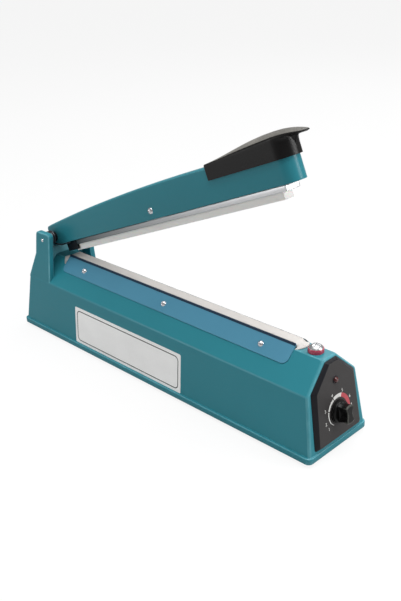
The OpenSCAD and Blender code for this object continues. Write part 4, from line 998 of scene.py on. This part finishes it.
def add_camera(scene):
    """A camera at the photograph's angle: turned about the object, raised, and rolled a little."""
    az, el, roll = (math.radians(v) for v in (46.637, 25.568, -3.232))
    aim, distance = Vector((0.038268, 0.0, 0.090290)), 0.767576
    back = Vector((math.sin(az) * math.cos(el), -math.cos(az) * math.cos(el), math.sin(el)))
    right = Vector((math.cos(az), math.sin(az), 0.0))
    up = back.cross(right)
    across_way = right * math.cos(roll) + up * math.sin(roll)
    up_way = up * math.cos(roll) - right * math.sin(roll)
    camera = placed("camera", bpy.data.cameras.new("camera"))
    camera.data.sensor_fit = "VERTICAL"
    camera.data.sensor_height = 36.0
    camera.data.lens = 49.51
    camera.data.clip_start = 0.01
    camera.matrix_world = Matrix([*zip(across_way, up_way, back, aim + back * distance), (0, 0, 0, 1)])
    scene.camera = camera


def add_floor():
    """A wide pale floor: near white to the eye with the object's shadow on it, grey to other rays."""
    x, y = np.meshgrid([-30.0, 30.0], [-30.0, 30.0])
    mesh = bpy.data.meshes.new("floor")
    mesh.from_pydata(np.stack([x.ravel(), y.ravel(), np.zeros(4)], -1).tolist(), [], [[0, 1, 3, 2]])
    floor = placed("floor", mesh)
    s = Surface(bpy.data.materials.new("floor_white"))
    s.tree.nodes.remove(s.tree.nodes["Principled BSDF"])
    pale = s.ramp(s.noise(s.coords(), 3.0), 0.3, 0.7, (0.86, 0.86, 0.86), (0.88, 0.88, 0.88))
    matt = s.add("BsdfDiffuse", {"Color": pale})
    grey = s.add("BsdfDiffuse", {"Color": (0.5, 0.5, 0.5)})
    soft = s.mixed(0.12, s.add("Emission"), matt)
    s.end_in("Material Output", s.mixed(s.seen(), grey, soft))
    mesh.materials.append(s.owner)


def add_world(scene):
    """A dim white room that looks full white behind the object."""
    s = Surface(bpy.data.worlds.new("studio"))
    scene.world = s.owner
    dim = s.feed(s.tree.nodes["Background"], {"Color": (1.0, 1.0, 1.0), "Strength": 0.3})
    white = s.add("Background", {"Color": (1.0, 1.0, 1.0)})
    s.end_in("World Output", s.mixed(s.seen(), dim, white))


def add_lamp(name, place, aim, wide, tall, power):
    """A soft rectangular lamp that faces its aim."""
    light = bpy.data.lights.new(name, "AREA")
    light.shape = "RECTANGLE"
    light.size = wide
    light.size_y = tall
    light.energy = power
    lamp = placed(name, light)
    lamp.location = place
    lamp.rotation_euler = (Vector(aim) - Vector(place)).to_track_quat("-Z", "Y").to_euler()


class SealerTool:
    """Shared settings of the builders."""

    bl_options = {"REGISTER", "UNDO"}

    def execute(self, context):
        self.build()
        return {"FINISHED"}


class SEALER_OT_studio(SealerTool, bpy.types.Operator):
    """Camera at the photograph's angle, pale floor and soft lamps"""

    bl_idname = "sealer.studio"
    bl_label = "Studio"

    def build(self):
        scene = bpy.context.scene
        scene.view_settings.view_transform = "Standard"
        add_camera(scene)
        add_floor()
        add_world(scene)
        add_lamp("key", (0.2, 0.0, 1.5), (0.0, 0.0, 0.05), 1.2, 1.2, 23.0)
        add_lamp("left", (-0.8, -1.1, 0.3), (0.0, 0.0, 0.12), 0.5, 0.5, 3.2)
        add_lamp("right", (0.85, 0.4, 0.45), (0.14, 0.0, 0.14), 0.3, 0.6, 4.2)
        add_lamp("behind", (-0.3, 1.3, 1.0), (0.0, 0.0, 0.1), 1.2, 0.6, 6.0)


class SEALER_OT_inside(SealerTool, bpy.types.Operator):
    """Finishes of the solids that are carried over as they are"""

    bl_idname = "sealer.inside"
    bl_label = "Carried-over solids"

    LOOKS = {
        "sheet_steel": ("base_plate", "transformer_strap"),
        "zinc_steel": ("base_screws", "transformer_screws", "microswitch_screws", "seal_bar_screws",
                       "terminal_screws", "handle_screws", "bar_pivot_nut", "pivot_bracket", "potentiometer",
                       "potentiometer_nut", "potentiometer_shaft", "heating_element", "bracket_rivets"),
        "foot_rubber": ("rubber_feet", "cord_grommet"),
        "core_sheets": ("transformer_core",),
        "coil_tape": ("transformer_winding",),
        "nylon_natural": ("transformer_bobbin",),
        "board_green": ("timer_board",),
        # Black spring bushes: painted shade in the hinge recess; the other parts here are black.
        "part_black": ("board_components", "microswitch", "bar_end_cap", "spring_bushes"),
        "button_plastic": ("microswitch_button",),
        "bar_aluminium": ("seal_bar",),
        "insulation_brown": ("insulation_strip", "element_terminals"),
        "lead_sleeve": ("heater_leads",),
    }

    def build(self):
        for look, nodes in self.LOOKS.items():
            for node in nodes:
                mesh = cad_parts[node].data
                mesh.materials.clear()
                mesh.materials.append(finish(look))


class SEALER_OT_casing(SealerTool, bpy.types.Operator):
    """Moulded shell with its flange, shoulders and ridge, and the hinge ears"""

    bl_idname = "sealer.casing"
    bl_label = "Casing"

    def build(self):
        shell = piece("casing_shell", [skin(casing_rings(), False)], "base", "shell_plastic", ["casing"])
        well = lathe([(0, 70), (7.3, 70), (7.3, 95), (0, 95)], 48, (PLUNGER_X, 0, 0))
        c, s = math.cos(HINGE_LEAN), math.sin(HINGE_LEAN)
        up = 20.0
        inlet = lathe([(0, -6), (6.05, -6), (6.05, 9), (0, 9)], 40,
                      (FLANGE_STEP + up * s, 0, up * c), (c, 0, -s))
        slot = slab(rectangle(371.5, -4.0, 378.4, 4.0), 0.5, [(0.0, 79.9), (0.0, 95.0)])
        cut(shell, [well, inlet, skin(slot)])
        # Shell and ear edges are lightened: partly wear, partly painted highlight.
        wear(shell, 0.5)
        ears = piece("hinge_ears", ear_parts(), "base", "shell_plastic", ())
        wear(ears, 0.85)


class SEALER_OT_label(SealerTool, bpy.types.Operator):
    """Bare label with a printed border on the front wall"""

    bl_idname = "sealer.label"
    bl_label = "Label"

    def build(self):
        sheet = label_rings(1.7, [(1.0, -0.3), (0.0, -0.3), (0.0, 0.12), (0.06, 0.18), (0.8, 0.18)])
        piece("bare_label", [skin(sheet)], "base", "label_paper")
        border = label_rings(8.0, [(3.1, 0.1), (3.1, 0.2), (4.1, 0.2), (4.1, 0.1)])
        piece("label_border", [skin(border, around=True)], "base", "ink_dark")


class SEALER_OT_panel(SealerTool, bpy.types.Operator):
    """Control panel with its scale, numerals and lamp"""

    bl_idname = "sealer.panel"
    bl_label = "Control panel"

    def build(self):
        # The panel's bevelled sides stay near black as painted shade; faces turned fully outward get the
        # panel's grey.
        plate = piece("panel_plate", [skin(panel_rings())], "base", "part_black", ["control_panel"])
        paint(plate, "panel_plastic", lambda centre, normal: normal[:, 0] > 0.95)
        white = [scale_part(234, 162, 12.2, 12.8, 13.5), scale_part(159, 112, DIAL_IN, 13.6, 14.2),
                 scale_part(109, 66, DIAL_IN, 15.0, 15.5)]
        piece("dial_white", white, "base", "ink_white")
        piece("dial_red", [scale_part(66, -5, DIAL_IN, 15.5, 16.2)], "base", "ink_red")
        angles = (math.radians(a) for a in (219, 197, 158, 110, 65, 22, -8))
        signs = [numeral_part(str(i), 17.8 * math.cos(a), KNOB_S + 17.6 * math.sin(a))
                 for i, a in enumerate(angles, 1)]
        piece("dial_numerals", signs, "base", "ink_white")
        centre = on_panel([PANEL_OUT, 0.0, LAMP_S])
        dome = [(0, -0.5), (2.5, -0.5), (2.5, 0.2), (2.45, 0.7), (2.25, 1.3), (1.85, 1.85), (1.3, 2.25),
                (0.65, 2.45), (0, 2.5)]
        piece("lamp_lens", [lathe(dome, 36, centre, FACE_OUTWARD)], "base", "lamp_lens", ["led_lamp"])
        ring = [(2.5, -0.1), (3.5, -0.1), (3.45, 0.25), (3.2, 0.4), (2.75, 0.4), (2.5, 0.25)]
        piece("lamp_ring", [lathe(ring, 36, centre, FACE_OUTWARD, True)], "base", "part_black")


class SEALER_OT_knob(SealerTool, bpy.types.Operator):
    """Waisted timer knob"""

    bl_idname = "sealer.knob"
    bl_label = "Timer knob"

    def build(self):
        knob = piece("waisted_knob", [skin(knob_rings(), False)], "knob_body", "knob_plastic", ["timer_knob"])
        # Only the knob's front rim is lightened: partly wear, partly painted highlight.
        wear(knob, 0.9, FACE_OUTWARD)


class SEALER_OT_plates(SealerTool, bpy.types.Operator):
    """Bent clamp plates and their domed screws"""

    bl_idname = "sealer.plates"
    bl_label = "Clamp plates"

    def build(self):
        heads = []
        for side, name in ((-1, "front"), (1, "rear")):
            plate = piece(f"{name}_plate", [skin(plate_rings(side))], "base", "plate_paint",
                          [f"{name}_clamp_plate"])
            if side < 0:
                # The upright flange's faces get a dark navy copy of the paint as painted shade.
                paint(plate, "plate_flange_shade", lambda centre, normal: centre[:, 2] > 84.1)
            soft = plate.modifiers.new("Soft edges", "BEVEL")
            soft.width = 0.22 * MM
            soft.segments = 2
            soft.limit_method = "ANGLE"
            soft.angle_limit = math.radians(40.0)
            out = (0, side * math.sin(SLOPE), math.cos(SLOPE))
            for x in PLATE_SCREWS:
                centre = on_slope([x, PLATE_SCREW_UP, PLATE_OUT], side)
                heads.append(screw_head(3.0, 2.0, size("recess_depth"), centre, out))
        piece("plate_screw_heads", heads, "base", "bright_metal", ["clamp_screws"],
              HEAD_SHARP)


class SEALER_OT_cloth(SealerTool, bpy.types.Operator):
    """Non-stick cloth over the heated line"""

    bl_idname = "sealer.cloth"
    bl_label = "Cloth"

    def build(self):
        points, over, run = cloth_grid()
        n, m = points.shape[:2]
        index = np.arange(n * m).reshape(n, m)
        quads = np.stack([index[:-1, :-1], index[1:, :-1], index[1:, 1:], index[:-1, 1:]], -1).reshape(-1, 4)
        thing = piece("seal_cloth", [(points.reshape(-1, 3), quads.tolist())], "base", "cloth_weave",
                      ["ptfe_cloth"], 60.0, False)
        mesh = thing.data
        grid = np.stack(np.broadcast_arrays(over[None, :], run[:, None]), -1).reshape(-1, 2) * MM
        corner = pulled(mesh.loops, "vertex_index", kind=int)
        mesh.uv_layers.new(name="cloth").uv.foreach_set("vector", grid[corner].ravel())
        solid = thing.modifiers.new("Thickness", "SOLIDIFY")
        solid.thickness = 0.25 * MM
        solid.offset = -1.0


class SEALER_OT_switch(SealerTool, bpy.types.Operator):
    """Red switch button with its bright screw"""

    bl_idname = "sealer.switch"
    bl_label = "Switch button"

    def build(self):
        spot = np.array([PLUNGER_X, 0.0, RIDGE_Z])
        outline = [(0, -14.7), (3.5, -14.7), (3.5, -0.1), (6.85, -0.1), (7.0, 0.1), (6.98, 1.2), (6.95, 2.8),
                   (6.8, 3.4), (6.5, 3.75), (5.8, BUTTON_TOP), (0, BUTTON_TOP)]
        piece("red_button", [lathe(outline, 56, spot)], "button_body", "button_plastic", ["switch_plunger"])
        head = screw_head(6.1, 3.3, size("recess_depth") * 1.3, spot + [0, 0, BUTTON_TOP], sides=64)
        piece("button_screw", [head], "button_body", "zinc_steel", ["plunger_screw"],
              HEAD_SHARP)


class SEALER_OT_hinge(SealerTool, bpy.types.Operator):
    """Hinge pin and the two return springs"""

    bl_idname = "sealer.hinge"
    bl_label = "Hinge"

    def build(self):
        half = wall_y(PIN[2]) - 0.3
        end = [(0, half + 0.5), (1.6, half + 0.45), (2.2, half + 0.2), (2.5, half - 0.3)]
        outline = [(r, -y) for r, y in end] + end[::-1]
        piece("pin_rod", [lathe(outline, 32, PIN, (0, 1, 0))], "base", "bright_metal", ["hinge_pin"])
        wire = 1.6
        path = spring_path(wire)
        coils = [tube(path * flip + PIN, wire / 2) for flip in ([1, 1, 1], [1, -1, 1])]
        springs = piece("lift_springs", coils, None, "spring_wire", ["return_springs"],
                        HEAD_SHARP)
        start, end = seated(PIN - [7, 0, 0]), seated(PIN + [9, 0, 0])
        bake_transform(springs)


class SEALER_OT_arm(SealerTool, bpy.types.Operator):
    """Teal arm channel and its side screw"""

    bl_idname = "sealer.arm"
    bl_label = "Arm"

    def build(self):
        channel = piece("arm_channel", [skin(arm_rings(), False)], "arm_body", "shell_plastic", ["arm"])
        # The arm's edges are lightened a little: partly wear, partly painted highlight.
        wear(channel, 0.2)
        spot = on_arm([PIVOT_U, -ARM_HALF, PIVOT_W])
        way = (0, -1, 0)
        head = screw_head(3.4, 2.0, size("recess_depth"), spot, way)
        shank = lathe([(0, 0.2), (2.0, 0.2), (2.0, -27.0), (0, -27.0)], 24, spot, way)
        piece("side_screw", [head, shank], "arm_body", "bright_metal", ["bar_pivot_screw"],
              HEAD_SHARP)


class SEALER_OT_handle(SealerTool, bpy.types.Operator):
    """Grained black handle with its beak"""

    bl_idname = "sealer.handle"
    bl_label = "Handle"

    def build(self):
        handle = piece("beaked_handle", [skin(handle_rings())], "arm_body", "handle_plastic", ["handle"],
                       42.0)
        up = leaned([0.0, 0.0, 1.0], OPEN)
        # Upward faces of the crown get a lighter grain as painted sheen.
        paint(handle, "handle_top_sheen", lambda centre, normal: normal @ up > 0.8)


class SEALER_OT_press_bar(SealerTool, bpy.types.Operator):
    """Aluminium press bar and its silicone strip"""

    bl_idname = "sealer.press_bar"
    bl_label = "Press bar"

    def build(self):
        piece("press_rail", [bar_part((31.0, -8.0, -14.7), (341.0, 8.0, -9.7), 3)], "bar_body",
              "bar_aluminium", ["press_bar"])
        piece("press_strip", [bar_part((24.8, -5.5, -21.2), (334.0, 5.5, -14.68), 5)], "bar_body",
              "strip_silicone", ["silicone_strip"])


BUILDERS = (SEALER_OT_studio, SEALER_OT_inside, SEALER_OT_casing, SEALER_OT_label, SEALER_OT_panel,
            SEALER_OT_knob, SEALER_OT_plates, SEALER_OT_cloth, SEALER_OT_switch, SEALER_OT_hinge,
            SEALER_OT_arm, SEALER_OT_handle, SEALER_OT_press_bar)


class SEALER_PT_sidebar(bpy.types.Panel):
    """Lists the builders, sizes and colours"""

    bl_idname = "SEALER_PT_sidebar"
    bl_label = "Bag sealer"
    bl_space_type = "VIEW_3D"
    bl_region_type = "UI"
    bl_category = "Sealer"

    def draw(self, context):
        for builder in BUILDERS:
            self.layout.operator(builder.bl_idname)
        for group in (context.scene.sealer_sizes, context.scene.sealer_colours):
            box = self.layout.box()
            for key in group.__annotations__:
                box.prop(group, key)


CLASSES = (SealerSizes, SealerColours, *BUILDERS, SEALER_PT_sidebar)


def register():
    for item in CLASSES:
        bpy.utils.register_class(item)
    bpy.types.Scene.sealer_sizes = bpy.props.PointerProperty(type=SealerSizes)
    bpy.types.Scene.sealer_colours = bpy.props.PointerProperty(type=SealerColours)


def unregister():
    del bpy.types.Scene.sealer_colours
    del bpy.types.Scene.sealer_sizes
    for item in reversed(CLASSES):
        bpy.utils.unregister_class(item)


def main():
    register()
    for builder in BUILDERS:
        group, name = builder.bl_idname.split(".")
        getattr(getattr(bpy.ops, group), name)()


if __name__ == "__main__":
    main()
